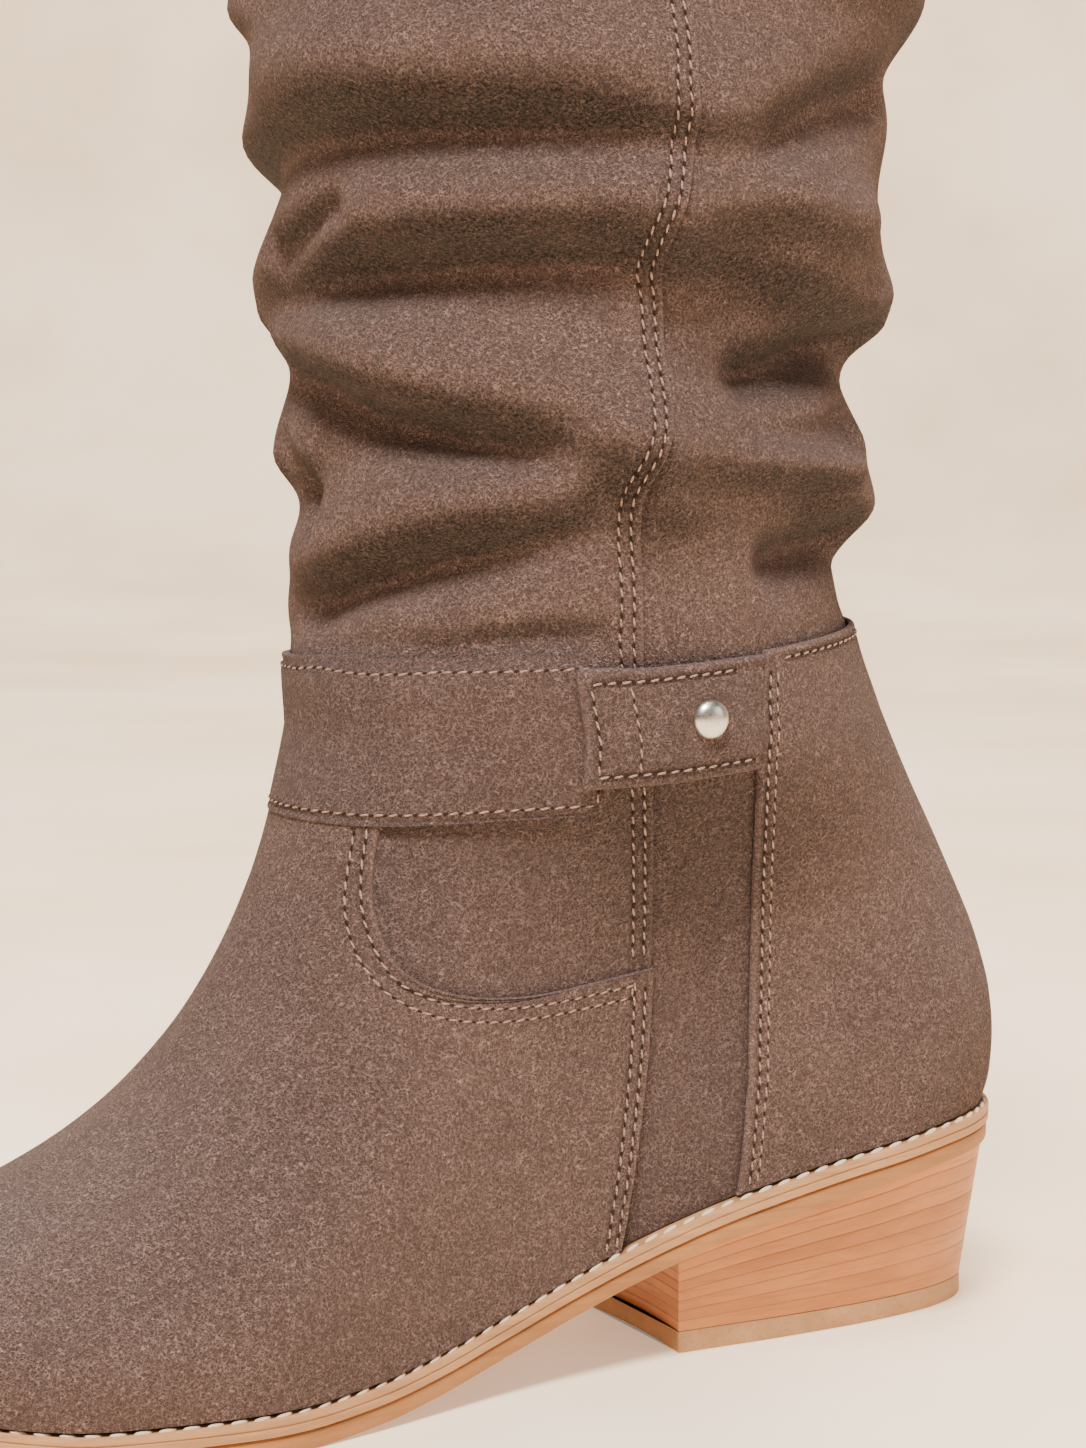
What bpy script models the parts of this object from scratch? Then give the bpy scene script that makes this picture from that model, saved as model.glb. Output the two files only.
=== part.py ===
"""Left slouch boot in suede: gathered shaft, ankle strap with riveted tab, stacked heel.

Run with  blender --background --python part.py,  or from the text editor.
Lengths are metres. X runs from the toe (-) to the heel (+), the outer side of the foot is
-Y, Z is up, and the origin is the middle of the heel's tread.
A turn runs round the boot from the front (0) by the outer side (0.25) and the back (0.5) to
the inner side (0.75). A rise runs from the welt (0) by the join of foot and shaft (1) to
the collar (2).
"""
import math

import bmesh
import bpy
from mathutils import Vector

# Sole, from the toe tip to the back of the seat
SOLE_LENGTH = 0.266
SOLE_BACK = 0.045
BALL_WIDTH = 0.090
SEAT_WIDTH = 0.060
SEAT_HEIGHT = 0.0435
TOE_SPRING = 0.0080
OUTSOLE_THICKNESS = 0.0036
MIDSOLE_THICKNESS = 0.0036
WELT_REACH = 0.0032
INSOLE_THICKNESS = 0.0030

# Heel
HEEL_LENGTH = 0.0790
HEEL_WIDTH = 0.0430
HEEL_SPREAD = 0.0060
HEEL_LEAN = 0.0020
HEEL_HOLLOW = 0.0012
LIFT_THICKNESS = 0.0045

# Upper and shaft
WALL = 0.0018
ANKLE_FRONT = -0.1085
ANKLE_BACK = 0.0145
ANKLE_WIDTH = 0.0840
JOIN_HEIGHT = 0.1280
CALF_DEPTH = 0.1400
CALF_WIDTH = 0.1000
COLLAR_HEIGHT = 0.3350
FOLD_HEIGHT = 0.0100
FOLD_REACH = 0.0150
FOLD_STEEP = 2.1
PANEL_STEP = 0.0005

# Overlays
OVERLAY = 0.0009
COUNTER_HEIGHT = 0.1465
COUNTER_DROP = 0.0026
STRAP_BOTTOM = 0.1113
STRAP_WIDTH = 0.0310
STRAP_TILT = 0.0030
STRAP_END = 0.206
STRAP_THICKNESS = 0.0013
TAB_BOTTOM = 0.1196
TAB_WIDTH = 0.0220
TAB_TILT = 0.0016
TAB_END = 0.191
TAB_THICKNESS = 0.0011
RIVET_TURN = 0.257
RIVET_DIAMETER = 0.0078
RIVET_HEIGHT = 0.0026

# Curved pieces meet this far apart, overlays a little more, flat ones less
GAP = 0.0003
COVER_GAP = 0.0006
VAMP_GAP = 0.0005
FLAT_GAP = 0.0001

# Sole outline. along: share of the length from the back. seat and ball: shares of half the
# seat width and half the ball width. swing: share of the ball width, + is inward.
OUTLINE = (
    # along, seat, ball, swing
    (0.00, 0.93, 0.00, 0.000),
    (0.13, 1.01, 0.00, 0.000),
    (0.26, 0.98, 0.01, -0.009),
    (0.37, 0.62, 0.227, -0.022),
    (0.48, 0.30, 0.50, -0.029),
    (0.60, 0.06, 0.838, -0.029),
    (0.70, 0.00, 1.00, -0.022),
    (0.78, 0.00, 0.98, -0.006),
    (0.88, 0.00, 0.870, 0.030),
    (0.95, 0.00, 0.730, 0.052),
    (1.00, 0.00, 0.560, 0.066),
)
HEEL_ROUND = 0.125
TOE_ROUND = 0.26

# Height of the welt. lift: share of the seat's height over the ball. spring: share of the
# toe spring.
PROFILE = (
    # along, lift, spring
    (0.00, 1.000, 0.0),
    (0.08, 0.965, 0.0),
    (0.14, 0.890, 0.0),
    (0.20, 0.812, 0.0),
    (0.28, 0.690, 0.0),
    (0.36, 0.520, 0.0),
    (0.42, 0.375, 0.0),
    (0.48, 0.228, 0.0),
    (0.54, 0.104, 0.0),
    (0.60, 0.028, 0.0),
    (0.66, 0.000, 0.0),
    (0.80, 0.000, 0.0),
    (0.88, 0.000, 0.22),
    (1.00, 0.000, 1.00),
)

# Loops of the foot. front: share of the way from the toe tip to the ankle's front. back:
# share of the way from the ankle's back to the heel's back.
SECTIONS = (
    # rise, front, back
    (0.000, 0.000, 1.000),
    (0.079, 0.007, 1.074),
    (0.164, 0.062, 1.090),
    (0.212, 0.135, 1.083),
    (0.246, 0.254, 1.070),
    (0.286, 0.392, 1.052),
    (0.344, 0.529, 1.008),
    (0.430, 0.666, 0.925),
    (0.546, 0.785, 0.768),
    (0.679, 0.877, 0.560),
    (0.806, 0.941, 0.335),
    (0.933, 0.982, 0.112),
    (1.000, 1.000, 0.000),
)
FOOT_RISES = (
    0.0, 0.04, 0.08, 0.12, 0.16, 0.195, 0.225, 0.26, 0.30, 0.35, 0.41, 0.47, 0.53, 0.545,
    0.60, 0.67, 0.75, 0.83, 0.91, 1.0,
)

# Loops of the shaft without its folds. depth and width: shares of the calf's depth and
# width. shift: the middle's way back from the ankle's, a share of the depth.
SHAFT = (
    # rise, depth, width, shift
    (1.00, 0.879, 0.840, 0.000),
    (1.08, 0.834, 0.840, -0.0225),
    (1.20, 0.748, 0.825, -0.0154),
    (1.35, 0.748, 0.830, -0.0347),
    (1.50, 0.846, 0.890, -0.0024),
    (1.66, 0.930, 0.955, 0.0158),
    (2.00, 1.000, 1.000, -0.0070),
)

# Folds of the shaft, each a ridge along a line through three points, steep underneath.
# height: share of the fold height.
FOLDS = (
    # start turn, rise, height, middle turn, rise, height, end turn, rise, height
    (-0.14, 1.533, 1.24, 0.055, 1.592, 1.15, 0.245, 1.575, 0.75),
    (-0.14, 1.400, 0.12, 0.165, 1.473, 1.05, 0.440, 1.381, 1.42),
    (-0.08, 1.393, 1.10, 0.055, 1.338, 0.85, 0.185, 1.290, 0.70),
    (-0.17, 1.318, 0.84, -0.075, 1.260, 0.87, 0.010, 1.285, 0.25),
    (-0.11, 1.105, 0.43, 0.140, 1.208, 0.85, 0.430, 1.208, 0.60),
    (0.32, 1.280, 0.20, 0.390, 1.276, 0.46, 0.460, 1.281, 0.25),
    (0.49, 1.505, 0.10, 0.660, 1.530, 0.70, 0.840, 1.485, 0.60),
    (0.47, 1.335, 0.05, 0.650, 1.370, 0.70, 0.840, 1.340, 0.50),
    (0.48, 1.195, 0.55, 0.690, 1.230, 0.60, 0.890, 1.180, 0.35),
    (-0.34, 1.695, 0.70, -0.210, 1.695, 0.90, -0.100, 1.679, 1.14),
    (0.30, 1.735, 0.30, 0.440, 1.691, 0.30, 0.600, 1.680, 0.50),
    (0.06, 1.790, 0.40, 0.250, 1.830, 0.50, 0.420, 1.790, 0.40),
    (0.55, 1.855, 0.30, 0.750, 1.830, 0.50, 0.920, 1.860, 0.40),
)
FOLD_FADE = 0.110
SHAFT_RISES = (
    1.00, 1.04, 1.08, 1.11, 1.14, 1.165, 1.19, 1.214, 1.238, 1.262, 1.286, 1.31, 1.334,
    1.358, 1.382, 1.406, 1.43, 1.454, 1.478, 1.502, 1.526, 1.55, 1.574, 1.598, 1.624, 1.652,
    1.682, 1.715, 1.755, 1.80, 1.86, 1.93, 2.00,
)
ROUND = 34

# Side seam, where the front panel laps the rear one; the inner side mirrors it
SEAM = (
    # rise, turn
    (0.00, 0.2905),
    (0.10, 0.2905),
    (0.18, 0.2887),
    (0.215, 0.2861),
    (0.23, 0.2837),
    (0.25, 0.2798),
    (0.27, 0.2757),
    (0.29, 0.2721),
    (0.32, 0.2677),
    (0.36, 0.2631),
    (0.41, 0.2580),
    (0.47, 0.2534),
    (0.53, 0.2496),
    (0.60, 0.2455),
    (0.68, 0.2408),
    (0.76, 0.2361),
    (0.84, 0.2321),
    (0.92, 0.2293),
    (1.00, 0.2285),
    (1.08, 0.2300),
    (1.13, 0.2280),
    (1.19, 0.2232),
    (1.21, 0.2222),
    (1.23, 0.2242),
    (1.27, 0.2342),
    (1.31, 0.2414),
    (1.34, 0.2433),
    (1.37, 0.2429),
    (1.40, 0.2407),
    (1.44, 0.2333),
    (1.46, 0.2312),
    (1.50, 0.2342),
    (1.53, 0.2367),
    (1.56, 0.2360),
    (1.60, 0.2326),
    (1.68, 0.2325),
    (2.00, 0.2360),
)
SEAM_EDGE = 0.0009

# Vamp, from the welt up to the strap. row: share of the rise at the strap. edge: the turn
# it ends at, on the side seam up to the ankle and then round the ankle to the strap.
VAMP = (
    # row, edge
    (0.005, 0.300),
    (0.046, 0.300),
    (0.093, 0.300),
    (0.139, 0.300),
    (0.186, 0.300),
    (0.226, 0.300),
    (0.261, 0.300),
    (0.302, 0.300),
    (0.348, 0.300),
    (0.406, 0.300),
    (0.476, 0.300),
    (0.545, 0.300),
    (0.616, 0.300),
    (0.623, 0.210),
    (0.634, 0.188),
    (0.661, 0.162),
    (0.697, 0.140),
    (0.737, 0.1225),
    (0.779, 0.111),
    (0.825, 0.101),
    (0.870, 0.094),
    (0.935, 0.089),
    (1.000, 0.0875),
)

# Counter, from the welt up over the join. edge turn at shares of its height.
COUNTER = (
    # share, edge turn
    (0.000, 0.3255),
    (0.093, 0.3243),
    (0.167, 0.3220),
    (0.200, 0.3197),
    (0.232, 0.3144),
    (0.269, 0.3082),
    (0.297, 0.3048),
    (0.334, 0.3012),
    (0.381, 0.2976),
    (0.436, 0.2947),
    (0.557, 0.2906),
    (0.706, 0.2867),
    (0.800, 0.2858),
    (0.880, 0.2870),
    (0.940, 0.2915),
    (1.000, 0.3045),
)
COUNTER_ROWS = (0.0, 0.04, 0.08, 0.12, 0.17, 0.23, 0.31, 0.41, 0.51, 0.62, 0.73, 0.84, 0.93, 1.0)
COUNTER_COLUMNS = 14
STRAP_COLUMNS = 20
STRAP_ROWS = (0.0, 0.33, 0.67, 1.0)
TAB_COLUMNS = 8

# Heel outline from the breast to the back. width: share of the heel's width. spread: how
# much wider the top is, a share of the heel's spread.
HEEL = (
    # along, width, spread
    (0.00, 1.000, 0.58),
    (0.24, 0.990, 0.68),
    (0.47, 0.950, 0.82),
    (0.60, 0.900, 0.93),
    (0.79, 0.760, 1.00),
    (0.91, 0.560, 0.95),
    (0.97, 0.360, 0.80),
    (1.00, 0.160, 0.60),
)
HEEL_GRID = (10, 4)
SOLE_ROWS = 26


def smoothstep(low, high, value):
    """0 up to low, 1 from high, and an even S between."""
    t = min(max((value - low) / (high - low), 0.0), 1.0)
    return t * t * (3.0 - 2.0 * t)


def blend(start, end, share):
    return start + (end - start) * share


def slope_at(keys, values, index):
    """The harmonic mean of the slopes on both sides of a row, 0 at a peak."""
    slopes = []
    for low in (index - 1, index):
        if 0 <= low < len(keys) - 1:
            slopes.append((values[low + 1] - values[low]) / (keys[low + 1] - keys[low]))
    if len(slopes) == 1:
        return slopes[0]
    if slopes[0] * slopes[1] <= 0:
        return 0.0
    return 2 * slopes[0] * slopes[1] / (slopes[0] + slopes[1])


def curve(rows, column, key, by=0):
    """A smooth curve without overshoot through one column of a table."""
    keys = [row[by] for row in rows]
    values = [row[column] for row in rows]
    key = min(max(key, keys[0]), keys[-1])
    index = max(i for i in range(len(keys) - 1) if keys[i] <= key)
    width = keys[index + 1] - keys[index]
    t = (key - keys[index]) / width
    start = slope_at(keys, values, index) * width
    end = slope_at(keys, values, index + 1) * width
    rest = 1.0 - t
    return (
        values[index] * (1 + 2 * t) * rest * rest
        + start * t * rest * rest
        + values[index + 1] * t * t * (3 - 2 * t)
        - end * t * t * rest
    )


def along_at(x):
    """Share of the sole's length from its back."""
    return (SOLE_BACK - x) / SOLE_LENGTH


def half_width(along):
    """Half the width of the sole, rounded at the toe only."""
    half = curve(OUTLINE, 1, along) * SEAT_WIDTH / 2 + curve(OUTLINE, 2, along) * BALL_WIDTH / 2
    toe = min(max((along - 1.0 + TOE_ROUND) / TOE_ROUND, 0.0), 1.0)
    return half * math.sqrt(max(1.0 - toe ** 3.2, 0.0))


def heel_round(share):
    """Narrowing towards the back, 1 at share 0 and closed at share 1."""
    return (1.0 - min(max(share, 0.0), 1.0) ** 2.3) ** (1 / 2.1)


def middle_line(along):
    return curve(OUTLINE, 3, along) * BALL_WIDTH


def welt_height(x):
    """Height of the welt's top over the floor."""
    ball = OUTSOLE_THICKNESS + MIDSOLE_THICKNESS + GAP
    along = along_at(x)
    lift = curve(PROFILE, 1, along) * (SEAT_HEIGHT - ball)
    return ball + lift + curve(PROFILE, 2, along) * TOE_SPRING


def ankle_ring(rise):
    """Front, back and half width of a loop of the foot at the ankle."""
    tip = SOLE_BACK - SOLE_LENGTH + WELT_REACH
    front = blend(tip, ANKLE_FRONT, curve(SECTIONS, 1, rise))
    back = blend(ANKLE_BACK, SOLE_BACK - WELT_REACH, curve(SECTIONS, 2, rise))
    half = ANKLE_WIDTH / 2 * blend(0.86, 1.0, smoothstep(0.3, 1.0, rise))
    return front, back, half


def foot_half(x, rise, front, back):
    """Half width of the foot part of a loop, from the last's own section."""
    tip = SOLE_BACK - SOLE_LENGTH + WELT_REACH
    reach = min(max((x - tip) / (ANKLE_FRONT - tip), 0.0), 1.0)
    ridge = max(curve(SECTIONS, 0, reach, by=1), rise, 0.001)
    share = min(rise / ridge, 1.0)
    section = (1.0 - share ** 2.3) ** 0.55
    section *= 1.0 + 0.05 * math.sin(math.pi * min(share / 0.6, 1.0))
    half = max(half_width(along_at(x)) - WELT_REACH, 0.0) * section
    half *= heel_round((x - back + HEEL_ROUND * SOLE_LENGTH) / (HEEL_ROUND * SOLE_LENGTH))
    closing = min(max((front + WELT_REACH * 2 - x) / (WELT_REACH * 2), 0.0), 1.0)
    return half * math.sqrt(1.0 - closing ** 2.4)


def foot_point(turn, rise):
    """Outer face of the foot, from the welt (rise 0) to the join (rise 1)."""
    front, back, ankle = ankle_ring(rise)
    angle = 2 * math.pi * turn
    x = blend(front, back, (1.0 - math.cos(angle)) / 2)
    side = -1.0 if turn % 1.0 < 0.5 else 1.0
    mixed = smoothstep(0.22, 1.0, rise)
    half = blend(foot_half(x, rise, front, back), ankle * abs(math.sin(angle)), mixed)
    y = middle_line(along_at(x)) * (1.0 - mixed) + side * half
    low = welt_height(x) + GAP
    return Vector((x, y, blend(low, JOIN_HEIGHT, rise)))


def fold_height(turn, rise):
    """How far the folds of the shaft stand out."""
    total = 0.0
    for row in FOLDS:
        turns, rises, heights = row[0::3], row[1::3], row[2::3]
        for lap in (-1.0, 0.0, 1.0):
            at = turn + lap
            fade = smoothstep(turns[0] - FOLD_FADE, turns[0], at)
            fade *= 1.0 - smoothstep(turns[2], turns[2] + FOLD_FADE, at)
            if fade == 0.0:
                continue
            line = three_point(turns, rises, at)
            away = (rise - line) * (COLLAR_HEIGHT - JOIN_HEIGHT) / FOLD_REACH
            if away < 0:
                away *= FOLD_STEEP
            total += fade * three_point(turns, heights, at) * math.exp(-away * away)
    return total * FOLD_HEIGHT


def three_point(keys, values, key):
    """The parabola through three points, held at its ends."""
    key = min(max(key, keys[0]), keys[2])
    a, b, c = keys
    return (
        values[0] * (key - b) * (key - c) / ((a - b) * (a - c))
        + values[1] * (key - a) * (key - c) / ((b - a) * (b - c))
        + values[2] * (key - a) * (key - b) / ((c - a) * (c - b))
    )


def shaft_point(turn, rise):
    """Outer face of the shaft, from the join (rise 1) to the collar (rise 2)."""
    angle = 2 * math.pi * turn
    depth = curve(SHAFT, 1, rise) * CALF_DEPTH / 2
    width = curve(SHAFT, 2, rise) * CALF_WIDTH / 2
    middle = (ANKLE_FRONT + ANKLE_BACK) / 2 + curve(SHAFT, 3, rise) * CALF_DEPTH
    out = Vector((-width * math.cos(angle), -depth * math.sin(angle), 0.0)).normalized()
    height = blend(JOIN_HEIGHT, COLLAR_HEIGHT, rise - 1.0)
    point = Vector((middle - depth * math.cos(angle), -width * math.sin(angle), height))
    return point + out * fold_height(turn, rise)


def skin_point(turn, rise):
    """Outer face of the boot under its overlays and without the step at the side seam."""
    if rise <= 1.0:
        return foot_point(turn, max(rise, 0.0))
    return shaft_point(turn, min(rise, 2.0))


def skin_normal(turn, rise):
    """Outward direction of the skin."""
    step = 0.004
    around = skin_point(turn + step, rise) - skin_point(turn - step, rise)
    low = min(max(rise - 0.012, 0.0), 1.976)
    up = skin_point(turn, low + 0.024) - skin_point(turn, low)
    return around.cross(up).normalized()


def level_normal(turn, rise, edges=(0.0, 1.0, 2.0)):
    """The same direction, turned level at the given rises."""
    normal = skin_normal(turn, rise)
    normal.z *= min(smoothstep(0.0, 0.07, abs(rise - edge)) for edge in edges)
    return normal.normalized()


def over_skin(turn, rise, distance):
    """A point this far over the skin, level with it at the welt."""
    return skin_point(turn, rise) + level_normal(turn, rise, (0.0,)) * distance


def rise_at(turn, height):
    """Rise of the skin's point at this height over the floor."""
    low, high = 0.0, 2.0
    for _ in range(24):
        middle = (low + high) / 2
        if skin_point(turn, middle).z < height:
            low = middle
        else:
            high = middle
    return (low + high) / 2


def seam_turn(rise):
    return curve(SEAM, 1, rise)


def panel_turns():
    """Nominal turns round the boot, with two close to each side seam for its step."""
    turns = [i / ROUND for i in range(ROUND)]
    turns = [t for t in turns if min(abs(t - 0.25), abs(t - 0.75)) > 0.4 / ROUND]
    turns += [0.25 - SEAM_EDGE, 0.25 + SEAM_EDGE, 0.75 - SEAM_EDGE, 0.75 + SEAM_EDGE]
    return sorted(turns)


def seam_warp(turn, rise):
    """Moves the nominal seam at a quarter turn onto the side seam."""
    side = turn if turn < 0.5 else 1.0 - turn
    near = 1.0 - smoothstep(0.0, 0.12, abs(side - 0.25))
    side += (seam_turn(rise) - 0.25) * near
    return side if turn < 0.5 else 1.0 - side


def loops(rises, shift):
    """Outer and inner loops of a stretch of the boot's wall."""
    outer, inner = [], []
    for rise in rises:
        outer.append([])
        inner.append([])
        for nominal in panel_turns():
            turn = seam_warp(nominal, rise)
            front = abs(nominal - 0.5) > 0.25
            point = skin_point(turn, rise) + Vector((0.0, 0.0, shift(rise)))
            normal = level_normal(turn, rise)
            outer[-1].append(point + normal * (PANEL_STEP if front else 0.0))
            inner[-1].append(point - normal * WALL)
    return outer, inner


def add_solid(name, material, lower, upper, wrap=False):
    """One closed body between two grids of points, its sides closed all round."""
    mesh = bpy.data.meshes.new(name)
    body = bmesh.new()
    grids = [[[body.verts.new(p) for p in row] for row in grid] for grid in (lower, upper)]
    rows, columns = len(lower), len(lower[0])
    last = columns if wrap else columns - 1
    for i in range(rows - 1):
        for j in range(last):
            k = (j + 1) % columns
            for grid in grids:
                body.faces.new((grid[i][j], grid[i][k], grid[i + 1][k], grid[i + 1][j]))
    for i in (0, rows - 1):
        for j in range(last):
            k = (j + 1) % columns
            body.faces.new((grids[0][i][j], grids[0][i][k], grids[1][i][k], grids[1][i][j]))
    if not wrap:
        for j in (0, columns - 1):
            for i in range(rows - 1):
                body.faces.new((grids[0][i][j], grids[0][i + 1][j], grids[1][i + 1][j], grids[1][i][j]))
    bmesh.ops.remove_doubles(body, verts=body.verts, dist=0.00002)
    bmesh.ops.recalc_face_normals(body, faces=body.faces)
    body.to_mesh(mesh)
    body.free()
    if signed_volume(mesh) < 0:
        mesh.flip_normals()
    mesh.materials.append(material)
    obj = bpy.data.objects.new(name, mesh)
    bpy.context.scene.collection.objects.link(obj)
    return obj


def signed_volume(mesh):
    """Six times the volume, below 0 where the faces look inward."""
    mesh.calc_loop_triangles()
    total = 0.0
    for triangle in mesh.loop_triangles:
        a, b, c = (mesh.vertices[i].co for i in triangle.vertices)
        total += a.dot(b.cross(c))
    return total


def make_material(name, colour, roughness, metallic=0.0):
    material = bpy.data.materials.new(name)
    material.use_nodes = True
    shader = material.node_tree.nodes["Principled BSDF"]
    shader.inputs["Base Color"].default_value = (*colour, 1.0)
    shader.inputs["Roughness"].default_value = roughness
    shader.inputs["Metallic"].default_value = metallic
    return material


def spread(count):
    """Shares from 0 to 1, closer together near both ends."""
    return [(1.0 - math.cos(math.pi * i / count)) / 2 for i in range(count + 1)]


def even(count):
    return [i / count for i in range(count + 1)]


def sole_plate(name, material, inset, drop, thickness):
    """A plate of the sole, this far under the welt's top."""
    lower, upper = [], []
    for share in spread(SOLE_ROWS):
        x = SOLE_BACK - inset - share * (SOLE_LENGTH - 2 * inset)
        half = half_width(share) * heel_round((HEEL_ROUND - share) / HEEL_ROUND)
        half = max(half - inset * math.sin(math.pi * share) ** 0.3, 0.0)
        top = welt_height(x) - drop
        middle = middle_line(share)
        sides = (middle - half, middle + half)
        upper.append([Vector((x, y, top)) for y in sides])
        lower.append([Vector((x, y, top - thickness)) for y in sides])
    return add_solid(name, material, lower, upper)


def make_insole(material):
    """The insole, inside the upper's wall and over the midsole."""
    lower, upper = [], []
    for share in spread(SOLE_ROWS):
        turn = math.acos(1.0 - 2.0 * share) / (2 * math.pi)
        sides = []
        for at in (turn, 1.0 - turn):
            point = skin_point(at, 0.02) - level_normal(at, 0.0) * (WALL + GAP * 5)
            sides.append((point.x, point.y, welt_height(point.x) + GAP))
        lower.append([Vector(p) for p in sides])
        upper.append([Vector((x, y, z + INSOLE_THICKNESS)) for x, y, z in sides])
    return add_solid("insole", material, lower, upper)


def heel_point(share, across, top):
    """A point of the heel's outline, on the tread or under the outsole."""
    half = curve(HEEL, 1, share) * HEEL_WIDTH / 2
    front, back = -HEEL_LENGTH * 0.48, HEEL_LENGTH * 0.52
    hollow = HEEL_HOLLOW * (1.0 - across * across) * (1.0 - share) ** 3
    if top:
        half += curve(HEEL, 2, share) * HEEL_SPREAD
        front -= HEEL_LEAN
        back = SOLE_BACK - WELT_REACH / 2
    return blend(front, back, share) + hollow, half * across


def heel_layer(name, material, bottom, top):
    """A solid of the heel between two heights, the upper one None for the outsole."""
    rows, columns = HEEL_GRID
    lower, upper = [], []
    for share in (1.0 - (1.0 - s) ** 1.6 for s in even(rows)):
        lower.append([])
        upper.append([])
        for across in (2.0 * s - 1.0 for s in even(columns)):
            x, y = heel_point(share, across, False)
            lower[-1].append(Vector((x, y, bottom)))
            if top is None:
                x, y = heel_point(share, across, True)
                under = MIDSOLE_THICKNESS + OUTSOLE_THICKNESS + 2 * GAP
                upper[-1].append(Vector((x, y, welt_height(x) - under)))
            else:
                upper[-1].append(Vector((x, y, top)))
    return add_solid(name, material, lower, upper)


def make_upper(material):
    outer, inner = loops(FOOT_RISES, lambda rise: -GAP / 2 * smoothstep(0.9, 1.0, rise))
    return add_solid("upper", material, inner, outer, wrap=True)


def make_shaft(material):
    outer, inner = loops(SHAFT_RISES, lambda rise: GAP / 2 * smoothstep(1.1, 1.0, rise))
    return add_solid("shaft", material, inner, outer, wrap=True)


def cover(name, material, rows, columns, place, depth, thickness):
    """An overlay: place gives the turn and rise of each of its points."""
    lower, upper = [], []
    for row in rows:
        points = [place(row, column) for column in columns]
        depths = [depth(turn) for turn, _ in points]
        lower.append([over_skin(*p, d) for p, d in zip(points, depths)])
        upper.append([over_skin(*p, d + thickness) for p, d in zip(points, depths)])
    return add_solid(name, material, lower, upper)


def vamp_depth(turn):
    return PANEL_STEP + VAMP_GAP


def make_vamp(material):
    edges = dict(VAMP)
    nominal = [turn for turn in panel_turns() if turn < 0.25]
    columns = [-turn for turn in reversed(nominal[1:])] + nominal

    def place(row, column):
        at = 0.0 if row < 1.0 else min(abs(column), edges[row])
        rise = row * rise_at(at, strap_height(at, 0.0) - GAP)
        turn = min(seam_warp(abs(column), rise), edges[row])
        return math.copysign(turn, column), rise

    return cover("vamp", material, list(edges), columns, place, vamp_depth, OVERLAY)


def counter_turn(height):
    """Turn of the counter's front edge at a height over the floor."""
    turn = COUNTER[-1][1]
    for _ in range(6):
        share = rise_at(turn, height) / rise_at(turn, COUNTER_HEIGHT - COUNTER_DROP)
        turn = curve(COUNTER, 1, share)
    return turn


def counter_depth(turn):
    return COVER_GAP


def make_counter(material):
    def place(row, column):
        across = 2.0 * column - 1.0
        turn = 0.5 + across * (0.5 - curve(COUNTER, 1, row))
        row = blend(0.004, 1.0, row)
        top = COUNTER_HEIGHT - COUNTER_DROP * across * across
        return turn, row * rise_at(turn, top)

    columns = even(COUNTER_COLUMNS)
    return cover("counter", material, COUNTER_ROWS, columns, place, counter_depth, OVERLAY)


def strap_height(turn, share):
    """Height of the strap over the floor, from its lower edge to its upper one."""
    tilt = STRAP_TILT * smoothstep(0.06, STRAP_END, turn) * blend(1.0, 0.5, share)
    return STRAP_BOTTOM + tilt + share * STRAP_WIDTH


def strap_depth(turn):
    return PANEL_STEP + COVER_GAP


def make_strap(material):
    """The strap, from its end on the outer side round the front to the counter."""
    def place(row, column):
        end = GAP * 3 - counter_turn(strap_height(-0.3, row))
        turn = blend(STRAP_END, end, column)
        return turn, rise_at(turn, strap_height(turn, row))

    columns = even(STRAP_COLUMNS)
    return cover("strap", material, STRAP_ROWS, columns, place, strap_depth, STRAP_THICKNESS)


def tab_depth(turn):
    """The tab lies on the strap's end and comes down to the rear panel."""
    high = strap_depth(turn) + STRAP_THICKNESS + GAP
    return blend(high, COVER_GAP, smoothstep(STRAP_END + 0.012, 0.30, turn))


def make_tab(material):
    def place(row, column):
        height = TAB_BOTTOM + TAB_TILT * column + TAB_WIDTH * row
        turn = blend(TAB_END, counter_turn(height) - GAP * 3, column)
        return turn, rise_at(turn, height)

    columns = even(TAB_COLUMNS)
    return cover("tab", material, STRAP_ROWS, columns, place, tab_depth, TAB_THICKNESS)


def make_rivet(material, sides=16, steps=4):
    """A low dome on the tab."""
    height = TAB_BOTTOM + TAB_WIDTH * 0.5 + TAB_TILT * 0.7
    rise = rise_at(RIVET_TURN, height)
    foot = over_skin(RIVET_TURN, rise, tab_depth(RIVET_TURN) + TAB_THICKNESS + GAP)
    axis = level_normal(RIVET_TURN, rise, (0.0,))
    flat = Vector((-axis.y, axis.x, 0.0)).normalized()
    up = axis.cross(flat)
    mesh = bpy.data.meshes.new("rivet")
    body = bmesh.new()
    rings = []
    for i in range(steps):
        bend = math.pi / 2 * i / steps
        radius = RIVET_DIAMETER / 2 * math.cos(bend)
        level = foot + axis * RIVET_HEIGHT * math.sin(bend)
        angles = [2 * math.pi * j / sides for j in range(sides)]
        rings.append([
            body.verts.new(level + radius * (flat * math.cos(a) + up * math.sin(a)))
            for a in angles
        ])
    for low, high in zip(rings, rings[1:]):
        for j in range(sides):
            k = (j + 1) % sides
            body.faces.new((low[j], low[k], high[k], high[j]))
    body.faces.new(rings[0])
    body.faces.new(rings[-1])
    bmesh.ops.recalc_face_normals(body, faces=body.faces)
    body.to_mesh(mesh)
    body.free()
    if signed_volume(mesh) < 0:
        mesh.flip_normals()
    mesh.materials.append(material)
    obj = bpy.data.objects.new("rivet", mesh)
    bpy.context.scene.collection.objects.link(obj)
    return obj


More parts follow.
